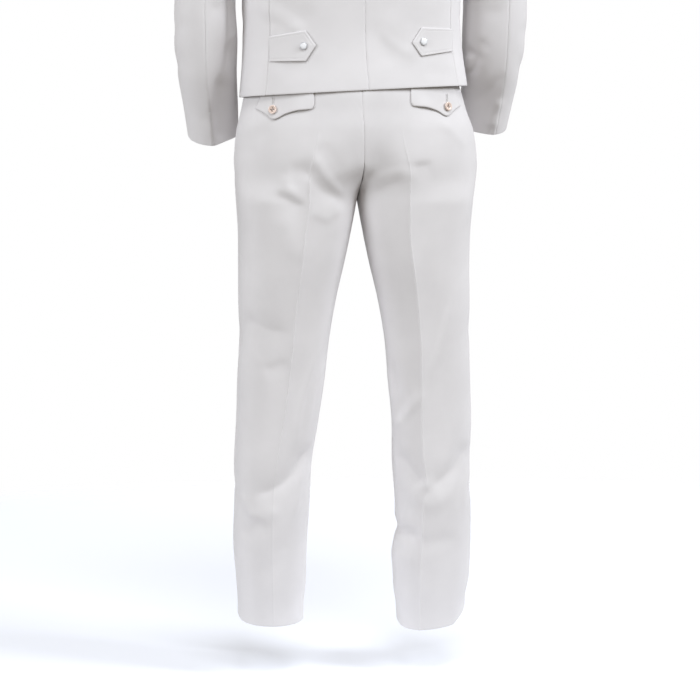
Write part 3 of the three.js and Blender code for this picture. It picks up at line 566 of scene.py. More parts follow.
sleeveFolds = {
    "left": [
        fold(-9, (14, 18), (226, 140), (222, 70), (222, 24), (228, -14), (240, -48), crest=1.5),
        fold(1.4, (8, 8), (244, 110), (243, 50), (249, 4)),
        fold(-7.5, (14, 18), (242, -26), (244, -64), (240, -100), (236, -170), ends=0.25),
        fold(1.6, (4, 4), (206, 44), (220, 26), (232, 12)),
        fold(-2.2, (12, 16), (216, 120), (236, 84), (268, 70)),
        fold(-1.2, (10, 12), (240, -90), (262, -112), (286, -116)),
        fold(-1.0, (16, 14), (300, 80), (290, 20), (300, -40)),
        fold(-2.0, (14, 18), (40, 60), (0, 40), (-50, 62), face="left"),
        fold(-2.2, (12, 16), (30, -4), (-20, -20), (-66, 8), face="left"),
        fold(-3.2, (10, 14), (214, 44), (244, 22), (286, 34), face="front"),
        fold(-2.8, (9, 12), (222, 6), (252, -12), (292, 0), face="front"),
        fold(-1.8, (14, 16), (240, 330), (262, 270), (268, 200), face="front"),
        fold(-1.2, (18, 20), (20, 330), (4, 250), (10, 180), face="left"),
    ],
    "right": [
        fold(-2.8, (4.5, 4), (-222, 31), (-229, 19), (-238, 8), crest=1.3),
        fold(-2.6, (5, 6), (-197, 20), (-208, 8), (-218, -2), (-213, -22), (-203, -42), crest=1.4),
        fold(3.8, (8, 8), (-202, 4), (-206, -12), (-202, -28)),
        fold(2.0, (7, 7), (-228, -4), (-224, -28), (-214, -50)),
        fold(-2.6, (9, 10), (-266, -28), (-245, -60), (-220, -92)),
        fold(3.4, (10, 12), (-260, -74), (-253, -100), (-248, -132), ends=0.2),
        fold(-2.2, (16, 12), (-212, 118), (-232, 82), (-262, 66)),
        fold(-1.2, (12, 10), (-226, -84), (-252, -104), (-278, -106)),
        fold(-1.0, (14, 16), (-292, 70), (-280, 20), (-286, -30)),
        fold(-2.0, (18, 14), (42, 58), (4, 36), (-48, 58), face="right"),
        fold(-2.0, (16, 12), (34, -8), (-16, -24), (-62, 4), face="right"),
        fold(-3.0, (14, 10), (-206, 42), (-238, 20), (-278, 30), face="front"),
        fold(-2.6, (12, 9), (-216, 2), (-246, -16), (-284, -4), face="front"),
        fold(-1.8, (16, 14), (-240, 332), (-258, 268), (-260, 198), face="front"),
        fold(-1.2, (20, 18), (22, 326), (6, 248), (12, 176), face="right"),
    ],
}
sleeveCut = {"top": (0.23, 0.66, 0.129), "under": (0.17, 0.54, 0.0745)}
sleeveSpans = {"top": (190, 600), "under": (150, 530)}


def sleevePanel(side, word, part, seamTurns):
    def surface(across, up):
        rise = 2 * np.interp(up, *sleeve["rises"])
        fromTurn, toTurn = seamTurns(rise)
        return sleevePoint(side, mix(fromTurn, toTurn, across), rise)

    def relief(spots, normals, across, up, edges):
        size, reach, seed = sleeve["uneven"]
        height = foldRelief(sleeveFolds[word], spots, normals) + drift(spots, size, reach, seed + side)
        onArm = smooth((sleeve["calmFrom"] - spots[:, 2]) / sleeve["calmFade"])
        onArm = onArm * smooth(edges["t"] / sleeve["headFade"])
        return height * onArm - hemRoll(edges["b"], sleeve["hemRoll"])

    clothPanel(f"sleeve{part.capitalize()}_{word}", f"sleeve_{part}_{word}", surface, *sleeveSpans[part],
               side, relief, cut=sleeveCut[part])


for side, word in sides:
    def seamTurn(name, rise, word=word):
        return sleeve[name][word] + sleeve["swing"][word] * smooth(1 - rise / sleeve["swing"]["top"])

    sleevePanel(side, word, "top", lambda rise: (seamTurn("hind", rise), seamTurn("fore", rise)))
    sleevePanel(side, word, "under", lambda rise: (seamTurn("fore", rise) - 2, seamTurn("hind", rise)))
print("sleeves made")


pelvisRows = table("z half back front lean", [
    (-270, 216, 104, 96, 1), (-229, 219, 113, 102, 0), (-186, 219, 119, 107, 0), (-133, 213, 119, 110, 1),
    (-100, 203, 116, 111, 3), (-62, 193, 113.4, 111, 4), (-36, 182, 106, 109, 4), (0, 172, 99, 106, 4),
])
legRows = {
    "left": table("z inner outer back front square", [
        (-1040, 98, 215, 80, 64, 0.7), (-984, 97, 215, 80, 63, 0.7), (-947, 93, 217, 82, 62, 0.7),
        (-874, 91, 222, 84, 62, 0.7), (-800, 86, 220, 86, 64, 0.7), (-727, 82, 220, 84, 70, 0.7),
        (-654, 70, 216, 81, 77, 0.7), (-582, 59, 214, 81, 81, 0.7), (-509, 51, 210, 84, 83, 0.7),
        (-437, 39, 211, 89, 85, 0.7), (-365, 23, 211, 95, 88, 0.66), (-310, 12, 211, 99, 91, 0.6),
        (-252, 1.5, 214, 103, 95, 0.56), (-232, 0, 213, 105, 96, 0.56), (-160, 0, 212, 108, 100, 0.7),
    ]),
    "right": table("z inner outer back front square", [
        (-1040, 78, 198, 80, 64, 0.72), (-990, 76, 200, 80, 63, 0.72), (-953, 71, 206, 82, 62, 0.72),
        (-879, 72, 209, 84, 62, 0.72), (-805, 74, 209, 86, 64, 0.72), (-731, 69, 207, 84, 70, 0.72),
        (-658, 67, 210, 81, 77, 0.72), (-585, 59, 208, 81, 81, 0.72), (-512, 53, 206, 84, 83, 0.74),
        (-439, 41, 206, 89, 85, 0.72), (-367, 24, 205, 95, 88, 0.7), (-310, 12, 206, 99, 91, 0.66),
        (-252, 1.5, 210, 103, 95, 0.62), (-232, 0, 210, 105, 96, 0.62), (-160, 0, 210, 108, 100, 0.7),
    ]),
}
trousers = {
    "bandZ": -38, "topZ": -38.5, "bottomZ": -1014, "forkTop": -172, "forkEnd": -264, "forkBend": 2.5,
    "square": 2.3, "seatBias": 0.25, "hemStart": -900, "hemMiddle": 150, "flickFrom": 168,
    # the hem's height, then how it slopes outwards, backwards and past the flick
    "hem": {"left": (-1007, 0, -0.1, 0), "right": (-1016, 0.14, -0.12, 0.65)},
    "uneven": (0.8, 70, 0.7), "calmAbove": -70, "calmFade": 50, "hemRoll": 0.4,
}
underSeat = {"z": -208, "above": 54, "below": 30, "left": 44, "right": 60, "depth": 9}  # cloth turned in
legSkew = {"left": 0.02, "right": 0.13, "low": -760, "fade": 160}  # slant of the leg's inner side
atFork = {"share": 0.8, "reach": 14, "low": -320, "fade": 60}  # how much less the folds are beside the fork


def pelvisPoint(turn, z):
    toBack = turn < 1
    near = np.where(toBack, turn, 2 - turn)
    angle = math.pi / 2 * near * mix(trousers["seatBias"], 1, np.abs(near))
    power = 2 / trousers["square"]
    depth = np.where(toBack, column(pelvisRows, z, "back"), -column(pelvisRows, z, "front"))
    x = column(pelvisRows, z, "half") * bend(np.sin(angle), power)
    return point(x, depth * bend(np.cos(angle), power), z)


def legPoint(word, turn, z):
    rows, angle = legRows[word], math.pi * turn
    depth = np.where(np.sin(angle) > 0, column(rows, z, "back"), column(rows, z, "front"))
    y = depth * bend(np.sin(angle), column(rows, z, "square"))
    outer = (1 - np.cos(angle)) / 2
    x = mix(column(rows, z, "inner"), column(rows, z, "outer"), outer)
    slant = smooth((z - legSkew["low"]) / legSkew["fade"])
    return point(x - legSkew[word] * y * (1 - outer) * slant, y, z)


def trouserPoint(side, turn, z):
    word = "left" if side > 0 else "right"
    past = (trousers["forkTop"] - z) / (trousers["forkTop"] - trousers["forkEnd"])
    fork = smooth(past) ** trousers["forkBend"]
    spot = mix(pelvisPoint(turn, z), legPoint(word, turn, z), fork[..., None])
    spot[..., 0] = side * np.maximum(spot[..., 0], 0) + column(pelvisRows, z, "lean") * (1 - fork)
    below = np.where(z > underSeat["z"], underSeat["above"], underSeat["below"])
    turnedIn = np.exp(-((spot[..., 0] / underSeat[word]) ** 2) - ((z - underSeat["z"]) / below) ** 2)
    spot[..., 1] -= underSeat["depth"] * turnedIn * (spot[..., 1] > 0)
    return spot


pressedEdges = {  # x of the pressed edge by height, how far it stands out there, and how sharp it is
    "back": {
        "left": table("z x height sharp", [
            (-1040, 158, 0.6, 0.2), (-867, 161, 1.4, 0.3), (-806, 160, 1.6, 0.3), (-760, 157, 2.2, 0.4),
            (-673, 145, 4, 0.7), (-604, 134, 4.4, 0.8), (-520, 125, 4.6, 0.9), (-453, 119, 4.6, 0.9),
            (-384, 110, 4.6, 0.9), (-318, 104, 4.6, 1), (-267, 97, 4.2, 1), (-222, 96, 3, 1),
            (-206, 94, 0.6, 0.7), (-190, 92, 0.8, 0.6), (-158, 84, 0.5, 0.4), (-130, 80, 0, 0),
            (-38, 76, 0, 0),
        ]),
        "right": table("z x height sharp", [
            (-1040, -107, 3, 0.8), (-954, -108, 3, 0.9), (-851, -111, 3, 0.9), (-800, -114, 2.6, 0.8),
            (-780, -117, 1, 0.1), (-764, -118, 3.6, 0.8), (-712, -112, 4.6, 1), (-608, -109, 5, 1),
            (-523, -107, 5, 1), (-448, -101, 5, 1), (-393, -94, 5, 1), (-326, -85, 4.6, 1),
            (-268, -83, 4.4, 1), (-214, -82, 3, 1), (-196, -80, 0.6, 0.7), (-184, -77, 0.8, 0.6),
            (-158, -70, 0.5, 0.4), (-130, -66, 0, 0), (-38, -62, 0, 0),
        ]),
    },
    "front": {
        "left": table("z x height sharp", [
            (-1040, 140, 3, 0.7), (-860, 140, 3, 0.7), (-730, 136, 3.4, 0.7), (-700, 134, 3.6, 0.7),
            (-520, 124, 4.4, 0.9), (-300, 100, 4.6, 1), (-190, 92, 3, 0.8), (-130, 88, 0, 0),
            (-38, 84, 0, 0),
        ]),
        "right": table("z x height sharp", [
            (-1040, -130, 3, 0.7), (-860, -132, 3.2, 0.7), (-730, -130, 3, 0.7), (-700, -128, 3.6, 0.7),
            (-520, -120, 4.4, 0.9), (-300, -98, 4.6, 1), (-190, -90, 3, 0.8), (-130, -86, 0, 0),
            (-38, -82, 0, 0),
        ]),
    },
}
pressed = {"broad": 12, "crest": 1.2, "fine": 1.3, "lip": 0.8}  # half widths of the edge and of its sharp lip


trouserFolds = {
    "left": [
        fold(2.2, (9, 9), (96, -160), (85, -185), (78, -199), (70, -211), (59, -225), (43, -239),
             (22, -250)),
        fold(-1.6, (22, 14), (82, -152), (56, -186), (40, -214)),
        fold(-2.2, (9, 24), (120, -195), (103, -206), (91, -220), (78, -237), (57, -249), (32, -255),
             crest=1.4),
        fold(-1.8, (16, 12), (134, -204), (113, -201), (91, -196)),
        fold(1.6, (10, 7), (139, -206), (134, -230), (118, -252)),
        fold(2.4, (7, 26), (154, -232), (134, -240), (116, -250), (100, -254)),
        fold(-2.8, (20, 8), (162, -241), (140, -251), (122, -262), (98, -268), crest=1.4),
        fold(1.6, (22, 18), (150, -272), (130, -310), (118, -370)),
        fold(2.2, (10, 28), (98, -270), (65, -286), (30, -262)),
        fold(-1.6, (14, 12), (206, -190), (196, -152), (160, -124)),
        fold(-4.2, (44, 18), (222, -456), (191, -473), (160, -486), (120, -490), crest=1.2),
        fold(1.2, (14, 8), (204, -470), (196, -520), (180, -556)),
        fold(-1.8, (14, 9), (180, -556), (156, -552), (126, -540)),
        fold(2.0, (8, 4), (58, -482), (85, -549), (103, -602), (112, -650), (116, -706)),
        fold(1.4, (9, 4), (58, -530), (84, -600), (96, -670)),
        fold(-6.3, (20, 16), (84, -684), (99, -710), (123, -742), (144, -759), (168, -771), (206, -782),
             crest=1.3, ends=0.26),
        fold(-2.2, (6, 8), (84, -682), (97, -706), (116, -733), (134, -750), ends=0.4),
        fold(1.8, (5, 7), (214, -772), (202, -806), (184, -826)),
        fold(1.8, (5, 4), (100, -720), (112, -780), (120, -824)),
        fold(-2.6, (12, 14), (172, -820), (216, -858)),
        fold(1.8, (14, 14), (208, -798), (180, -816), (140, -802)),
        fold(-1.4, (16, 18), (110, -860), (150, -880), (190, -940)),
    ],
    "right": [
        fold(1.4, (9, 14), (-84, -196), (-63, -205), (-28, -217), (-3, -234)),
        fold(-1.0, (9, 14), (-76, -216), (-54, -228), (-28, -241), (-4, -250)),
        fold(-4.2, (26, 36), (0, -212), (-30, -202), (-70, -186), fades=0.6),
        fold(-2.6, (22, 8), (-84, -200), (-99, -198), (-124, -194)),
        fold(1.2, (8, 8), (-126, -112), (-162, -137), (-192, -168)),
        fold(2.2, (4, 10), (-172, -400), (-142, -504), (-127, -552), (-117, -620)),
        fold(2.3, (10, 8), (-112, -594), (-89, -629), (-56, -676)),
        fold(-6.0, (9, 16), (-42, -540), (-60, -587), (-67, -623), (-60, -662), ends=0.2),
        fold(-6.2, (22, 13), (-50, -710), (-80, -725), (-98, -751), (-116, -768), crest=1.4, ends=0.2),
        fold(-5.8, (22, 15), (-118, -772), (-138, -762), (-168, -736), (-204, -690), crest=1.4, ends=0.24),
        fold(-5.0, (7, 9), (-60, -758), (-72, -786), (-68, -828), crest=1.3),
        fold(2.4, (15, 20), (-74, -762), (-98, -788), (-124, -800), (-156, -782), (-192, -738)),
        fold(2.0, (5, 8), (-200, -716), (-190, -780), (-186, -830)),
        fold(-1.8, (16, 14), (-80, -862), (-120, -872), (-180, -860)),
        fold(-6.0, (13, 15), (-70, -848), (80, -858), face="left", ends=0.1),
        fold(3.4, (18, 26), (-70, -900), (80, -904), face="left", ends=0.1),
    ],
}
for lean, word in sides:  # the sides that face forwards and outwards hang alike
    trouserFolds[word] += [
        fold(-2.2, (12, 14), (lean * 20, -236), (lean * 70, -214), (lean * 150, -196), face="front"),
        fold(-2.6, (12, 16), (lean * 12, -262), (lean * 60, -270), (lean * 110, -300), face="front"),
        fold(-2.4, (14, 16), (lean * 80, -610), (lean * 130, -640), (lean * 196, -628), face="front"),
        fold(-2.2, (12, 18), (lean * 78, -690), (lean * 132, -704), (lean * 200, -680), face="front"),
        fold(-4.2, (14, 12), (lean * 96, -944), (lean * 140, -966), (lean * 200, -950), face="front"),
        fold(2.0, (10, 10), (lean * 98, -986), (lean * 140, -1000), (lean * 196, -984), face="front"),
        fold(-1.8, (16, 14), (-60, -170), (-10, -210), (40, -230), face=word),
        fold(-1.6, (16, 18), (60, -470), (10, -500), (-40, -480), face=word),
        fold(-2.2, (14, 16), (60, -760), (10, -790), (-50, -740), face=word),
    ]
trouserCut = {"back": (0.35, 1.02, 0.265), "front": (0.29, 1.01, 0.246)}
trouserSpans = {"back": (240, 976), "front": (210, 976)}
trouserCell = {"back": 4.0, "front": 5.0}


def creaseTurn(side, part, edge, z):  # where on its panel the pressed edge lies at each height
    levels = np.linspace(trousers["bottomZ"] - 4, trousers["topZ"] + 4, 180)
    turns = np.linspace(0.08, 0.92, 64) + (1 if part == "front" else 0)
    found = []
    for level in levels:
        reach = trouserPoint(side, turns, np.full(len(turns), level))[:, 0] * side
        order = np.argsort(reach)
        found.append(np.interp(side * column(edge, np.array([level]), "x")[0], reach[order], turns[order]))
    return np.interp(z, levels, found)


def trouserPanel(side, word, part, fromTurn, toTurn):
    hemZ, outwards, backwards, flick = trousers["hem"][word]
    edge = pressedEdges[part][word]
    levels = np.linspace(trousers["bottomZ"], trousers["topZ"], 200)
    turnsAt = creaseTurn(side, part, edge, levels)

    def surface(across, up):
        z = mix(trousers["bottomZ"], trousers["topZ"], up)
        middle = np.interp(z, levels, turnsAt)
        share = 2 * across
        turn = np.where(share < 1, mix(fromTurn, middle, share), mix(middle, toTurn, share - 1))
        spot = trouserPoint(side, turn, z)
        low = np.clip((trousers["hemStart"] - z) / (trousers["hemStart"] - trousers["bottomZ"]), 0, 1)
        reach = np.abs(spot[..., 0])
        slope = outwards * (reach - trousers["hemMiddle"]) + backwards * spot[..., 1]
        slope += flick * np.maximum(reach - trousers["flickFrom"], 0)
        spot[..., 2] += low * (hemZ - trousers["bottomZ"] + slope)
        return spot

    def relief(spots, normals, across, up, edges):
        size, reach, seed = trousers["uneven"]
        height = foldRelief(trouserFolds[word], spots, normals) + drift(spots, size, reach, seed + side)
        body = smooth((trousers["calmAbove"] - spots[:, 2]) / trousers["calmFade"])  # plain under the jacket
        besideFork = np.exp(-((edges["l" if part == "back" else "r"] / atFork["reach"]) ** 2))
        less = 1 - atFork["share"] * besideFork * smooth((spots[:, 2] - atFork["low"]) / atFork["fade"])
        apart = np.abs(edges["l"] - edges["c"])
        broad = np.exp(-((apart / pressed["broad"]) ** pressed["crest"]))
        fine = np.exp(-((apart / pressed["fine"]) ** 2))
        press = column(edge, spots[:, 2], "height") * broad
        press += column(edge, spots[:, 2], "sharp") * pressed["lip"] * fine
        return height * body * less + press - hemRoll(edges["b"], trousers["hemRoll"])

    clothPanel(f"trouser{part.capitalize()}_{word}", f"trouser_{part}_{word}", surface, *trouserSpans[part],
               side, relief, cell=trouserCell[part], cut=trouserCut[part], crease=0.5)


for side, word in sides:
    trouserPanel(side, word, "back", 0, 1)
    trouserPanel(side, word, "front", 1, 2)
print("trousers made")


softGap = 0.9  # how far the small pieces stand off the panel below
trimWall = 1.6
trimLift = softGap + trimWall  # height of their outer face
stitch = {"length": 2.3, "apart": 3.0, "thick": 0.3, "groove": 0.35, "reach": 0.9, "sunk": 0.15}


def trimPanel(name, node, surface, side, relief, lift, piece, draw=False):  # a small piece with free edges
    clothPanel(name, node, surface, *piece["span"], side, relief, lift, piece["cell"], piece["wall"],
               seams="", close=False, cut=piece["cut"], held=piece["held"], draw=draw)


def turnedEdge(distance, roll):  # the cloth rounds down at a folded and pressed edge
    return -roll * np.exp(-((distance / 1.1) ** 2))


def stitchGroove(distance, inset):
    return -stitch["groove"] * np.exp(-(((distance - inset) / stitch["reach"]) ** 2))


def sewStitch(bm, place, here, ahead, length, width, height):  # one stitch from spot to spot
    spot, normal = place(*here)
    onwards, _ = place(*ahead)
    run = (onwards - spot).normalized()
    turn = Matrix((run, normal.cross(run), normal)).transposed().to_4x4()
    size = Matrix.Diagonal((length * metre, width * metre, height * metre, 1))
    bmesh.ops.create_uvsphere(bm, u_segments=5, v_segments=4, radius=1,
                              matrix=Matrix.Translation(spot * metre) @ turn @ size)


def sewRow(bm, place, path):  # a row of stitches along a path of 2-D spots on a surface
    path = np.array(path, float)
    for start, end in zip(path[:-1], path[1:]):
        count = max(int(round(np.linalg.norm(end - start) / stitch["apart"])), 1)
        for i in range(count):
            here, ahead = mix(start, end, (i + 0.5) / count), mix(start, end, (i + 0.6) / count)
            sewStitch(bm, place, here, ahead, stitch["length"] / 2, stitch["thick"], stitch["thick"])


def spotOn(surface, across, up, side, lift):  # place and outward side of one spot, `lift` above a surface
    normal = outward(surface, np.array([across]), np.array([up]), side)[0]
    return Vector(surface(np.array([across]), np.array([up]))[0] + normal * lift), Vector(normal).normalized()


def finishPiece(bm, name, materials, *nodes):
    mesh = bpy.data.meshes.new(name)
    bm.to_mesh(mesh)
    bm.free()
    mesh.polygons.foreach_set("use_smooth", np.ones(len(mesh.polygons), bool))
    for material in materials:
        mesh.materials.append(material)
    piece = addObject(name, mesh)
    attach(piece, "root")
    if nodes:
        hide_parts(*nodes)
    return piece


tab = {
    "tipHalf": 0.6, "tip": 85, "shoulder": 102, "root": 162, "shoulderHalf": 26, "rootHalf": 21,
    "left": {"tip": 16, "root": 12}, "right": {"tip": 17, "root": 21},
    "puff": 0.7, "tipLift": 1.3, "roll": 0.5, "stitch": 4.6,
    "span": (78, 52), "cell": 1.3, "wall": 1.2, "cut": (0.085, 0.055, 0.0038), "held": "laid",
}


def tabMiddle(word, along):  # height of the tab's middle line, that far from the middle of the jacket
    return mix(tab[word]["tip"], tab[word]["root"], (along - tab["tip"]) / (tab["root"] - tab["tip"]))


def tabSpot(side, word, along, rise):  # rise: how far above the tab's middle line
    z = tabMiddle(word, along) + rise
    return jacketPoint(side * jacketTurn(side, along, z), z)


def tabEdge(inset=0.0):  # outline from the root round the tip, or a line that far inside it
    root, rootHalf = tab["root"] + 2, tab["rootHalf"] - inset
    shoulder, shoulderHalf = tab["shoulder"] + 0.45 * inset, tab["shoulderHalf"] - 1.06 * inset
    tip = (tab["tip"] + 1.2 * inset, 0)
    return [(root, rootHalf), (shoulder, shoulderHalf), tip, (shoulder, -shoulderHalf), (root, -rootHalf)]


def sideTab(side, word, bm):
    shoulderShare = (tab["shoulder"] - tab["tip"]) / (tab["root"] - tab["tip"])

    def place(across, up):
        past = (across - shoulderShare) / (1 - shoulderShare)
        half = np.where(past < 0, mix(tab["tipHalf"], tab["shoulderHalf"], across / shoulderShare),
                        mix(tab["shoulderHalf"], tab["rootHalf"], past))
        return mix(tab["tip"], tab["root"], across), half * (2 * up - 1)

    def surface(across, up):
        return tabSpot(side, word, *place(across, up))

    def relief(spots, normals, across, up, edges):
        distance, _, _ = alongPath(np.stack(place(across, up), axis=-1), tabEdge())
        puff = tab["puff"] * smooth((0.5 - across) / 0.5) * smooth(distance / 9)
        bulge = puff + tab["tipLift"] * smooth((0.35 - across) / 0.35)
        return turnedEdge(distance, tab["roll"]) + stitchGroove(distance, tab["stitch"]) + bulge

    def onTab(along, rise):
        return tabSpot(side, word, along, rise)

    trimPanel(f"tab_{word}Cloth", f"tab_{word}", surface, side, relief, trimLift, tab)
    sewRow(bm, lambda along, rise: spotOn(onTab, along, rise, side, trimLift - stitch["sunk"]),
           tabEdge(tab["stitch"]))


flap = {
    "shift": {"left": -2, "right": -8}, "inner": 90, "outer": 187, "outerTop": 172, "top": -54,
    "point": {"left": -115, "right": -109},
    "edge": table("z drop", [
        (0, 26), (0.03, 19), (0.12, 17), (0.3, 15), (0.5, 9), (0.7, 0), (0.86, 11), (1, 19),
    ]),
    "curls": ((1.0, 0.7, 0.2), (2.2, 0.3, 0.24)),  # how far the lower edge lifts, where and how broadly
    "ripple": 0.35, "roll": 0.9,
    "span": (97, 58), "cell": 1.4, "wall": 1.5, "cut": (0.11, 0.065, 0.0052), "held": "hung",
}


def seatPoint(side, reach, z):  # a spot on the seat, by its distance from the middle
    share = np.clip((reach - side * column(pelvisRows, z, "lean")) / column(pelvisRows, z, "half"), 0, 1)
    near = np.arcsin(share ** (trousers["square"] / 2)) / (math.pi / 2)
    rest = 1 - trousers["seatBias"]
    turn = (np.sqrt(trousers["seatBias"] ** 2 + 4 * rest * near) - trousers["seatBias"]) / (2 * rest)
    return trouserPoint(side, turn, z)


def pocketFlap(side, word):
    def place(across, up):
        low = flap["point"][word] + column(flap["edge"], across, "drop")
        reach = flap["shift"][word] + mix(flap["inner"], mix(flap["outer"], flap["outerTop"], up), across)
        return reach, mix(low, flap["top"], up)

    def surface(across, up):
        return seatPoint(side, *place(across, up))

    shares = np.linspace(0, 1, 41)
    rim = np.stack(place(shares, 0 * shares), axis=-1)
    inner, outer = np.stack(place(np.array([0.0, 1.0]), np.ones(2)), axis=-1)
    outline = [inner, *rim, outer]

    def relief(spots, normals, across, up, edges):
        distance, _, _ = alongPath(np.stack(place(across, up), axis=-1), outline)
        lifts = sum(height * np.exp(-(((across - at) / wide) ** 2)) for height, at, wide in flap["curls"])
        ripple = flap["ripple"] * np.sin(across * 9 + side) * smooth(1 - up)
        return turnedEdge(distance, flap["roll"]) + lifts * smooth(1 - up * 1.6) + ripple

    trimPanel(f"flap_{word}Cloth", f"pocket_flap_{word}", surface, side, relief, trimLift, flap)


lapel = {
    "bottom": 158, "top": 447, "gorge": 25, "notch": 40, "notchSlope": 0.75, "foot": 2, "width": 84,
    "belly": 0.4, "rollUp": 3.2, "rollReach": 9, "lift": 1.2, "liftReach": 40, "roll": 0.9, "stitch": 5,
    "span": (84, 290), "cell": 2.4, "wall": 1.5, "cut": (0.10, 0.30, 0.0145), "held": "folded",
}
collar = {
    "endZ": 449, "slope": 0.3, "shoulder": 0.6, "backFall": 0.88, "shoulderFall": 0.42, "spread": 0.94,
    "flatten": 0.7, "shrink": 0.5, "roll": 0.7, "stitch": 5,
    "span": (470, 78), "cell": 2.6, "wall": 1.5, "cut": (0.50, 0.10, 0.0438), "held": "folded",
}


def turnedLapel(side, word):
    def surface(across, up):
        rise = mix(up, smooth(up * 1.25), lapel["belly"])
        reach = (1 - across) * mix(lapel["foot"], lapel["width"], rise)
        notch = np.clip(reach - lapel["gorge"], 0, lapel["notch"] - lapel["gorge"])
        drop = collar["slope"] * np.minimum(reach, lapel["gorge"]) + lapel["notchSlope"] * notch
        z = mix(lapel["bottom"], lapel["top"], up) - drop * smooth(up)
        return frontPoint(side, jacketTurn(side, frontEdge(z) + reach, z, True), z)

    def relief(spots, normals, across, up, edges):
        distance = np.minimum(edges["l"], edges["t"])
        rollUp = lapel["rollUp"] * np.exp(-edges["r"] / lapel["rollReach"]) * smooth(up * 3)
        lift = lapel["lift"] * smooth(edges["l"] / lapel["liftReach"]) * smooth(up * 2)
        return turnedEdge(distance, lapel["roll"]) + stitchGroove(distance, lapel["stitch"]) + (rollUp + lift)

    trimPanel(f"lapel_{word}Cloth", f"lapel_{word}", surface, side, relief, trimLift, lapel)


def besideNeck(share, down):  # turn and height beside the neck, `down` the cloth from its edge
    side = np.where(share < 0, -1, 1)
    toFront = (np.abs(share) - collar["shoulder"]) / (1 - collar["shoulder"])
    bent = np.abs(share) / collar["shoulder"]
    backZ = jacket["neckTop"] - down * mix(collar["backFall"], collar["shoulderFall"], bent * bent)
    shoulderZ = jacket["neckTop"] - collar["shoulderFall"] * down
    frontZ = mix(shoulderZ, collar["endZ"] - collar["slope"] * down, np.clip(toFront, 0, 1.1))
    atShoulder = column(jacketRows, shoulderZ + 0 * share, "half")
    reach = mix(atShoulder, frontEdge(collar["endZ"]) + collar["spread"] * down, toFront)
    onFront = toFront > 0
    turn = np.where(onFront, side * jacketTurn(side, reach, frontZ, True), side * 0.25 * bent)
    return turn, np.where(onFront, frontZ, backZ)


collarSection = [  # rise over the neck edge on the stand and the fold, then the fall down the jacket
    {"out": -0.5, "rise": 0.6}, {"out": -2, "rise": 10}, {"out": -1, "rise": 17}, {"out": 3, "rise": 20.5},
    {"out": 7, "rise": 16}, {"down": 15, "off": 7}, {"down": 30, "off": 5}, {"down": 44, "off": 4},
]


def collarSpot(share, row):
    if "down" in row:
        turn, z = besideNeck(share, row["down"])
        return jacketPoint(turn, z) + outward(jacketPoint, turn, z) * row["off"]
    turn, z = besideNeck(share, 0)
    away = outward(jacketPoint, turn, z) * np.array([1, 1, 0])
    away /= np.linalg.norm(away, axis=-1, keepdims=True)
    toFront = smooth((np.abs(share) - collar["shoulder"]) / (1 - collar["shoulder"]))
    rise = point(-np.sign(share) * toFront, 0, 1 - collar["flatten"] * toFront)
    high = row["rise"] * mix(1, collar["shrink"], toFront)
    return jacketPoint(turn, z) + away * row["out"] + rise * high[..., None]


def foldedCollar():
    def surface(across, up):
        share = mix(-1, 1, across)
        spots = [collarSpot(share, row) for row in reversed(collarSection)]
        spots = [2 * spots[0] - spots[1], *spots, 2 * spots[-1] - spots[-2]]  # smooth through the rows
        place = np.clip(up, 0, 1) * (len(collarSection) - 1)
        i = np.clip(np.floor(place), 0, len(collarSection) - 2).astype(int)
        s = (up * (len(collarSection) - 1) - i)[..., None]
        stack = np.array(spots)
        before, low, high, after = (stack[i + k, np.arange(len(i))] for k in range(4))
        return 0.5 * (2 * low + (high - before) * s + (2 * before - 5 * low + 4 * high - after) * s * s
                      + (3 * low - before - 3 * high + after) * s ** 3)

    def relief(spots, normals, across, up, edges):
        distance = np.minimum(edges["b"], np.minimum(edges["l"], edges["r"]))
        onFall = up < 0.55
        return turnedEdge(distance, collar["roll"]) + stitchGroove(distance, collar["stitch"]) * onFall

    trimPanel("collarCloth", "collar", surface, 1, relief, 0, collar)


def waistPoint(turn, z):
    spot = pelvisPoint(np.abs(turn), z)
    spot[..., 0] = np.sign(turn) * spot[..., 0] + column(pelvisRows, z, "lean")
    return spot


band = {
    "roll": 0.7, "stitch": 3,
    "span": (900, 38), "cell": 4, "wall": 1.8, "cut": (0.93, 0.04, 0.0372), "held": "folded",
}


def waistband():
    def surface(across, up):
        return waistPoint(mix(-2, 2, across), mix(trousers["bandZ"], 0, up))

    def relief(spots, normals, across, up, edges):
        distance = np.minimum(edges["b"], edges["t"])
        return turnedEdge(distance, band["roll"]) + stitchGroove(edges["b"], band["stitch"])

    trimPanel("waistbandCloth", "waistband", surface, 1, relief, 0, band, draw=True)


fly = {
    "width": 0.26, "top": -41, "bottom": -166, "foot": 0.25, "spread": 2.4, "extra": 0.4, "roll": 0.8,
    "stitch": 5, "span": (48, 126), "cell": 2, "wall": 1.5, "cut": (0.05, 0.127, 0.0053), "held": "laid",
}


def flyStrip():
    def surface(across, up):
        width = fly["width"] * smooth(fly["foot"] + up * fly["spread"])
        return trouserPoint(1, mix(2 - width, 2, across), mix(fly["bottom"], fly["top"], up))

    def relief(spots, normals, across, up, edges):
        distance = np.minimum(edges["l"], edges["r"])
        return turnedEdge(distance, fly["roll"]) + stitchGroove(edges["l"], fly["stitch"])

    trimPanel("flyCloth", "fly_strip", surface, 1, relief, trimLift + fly["extra"], fly)


trimStitches = bmesh.new()
for side, word in sides:
    sideTab(side, word, trimStitches)
    pocketFlap(side, word)
    turnedLapel(side, word)
foldedCollar()
waistband()
flyStrip()
print("tabs, flaps, lapels, collar and band made")


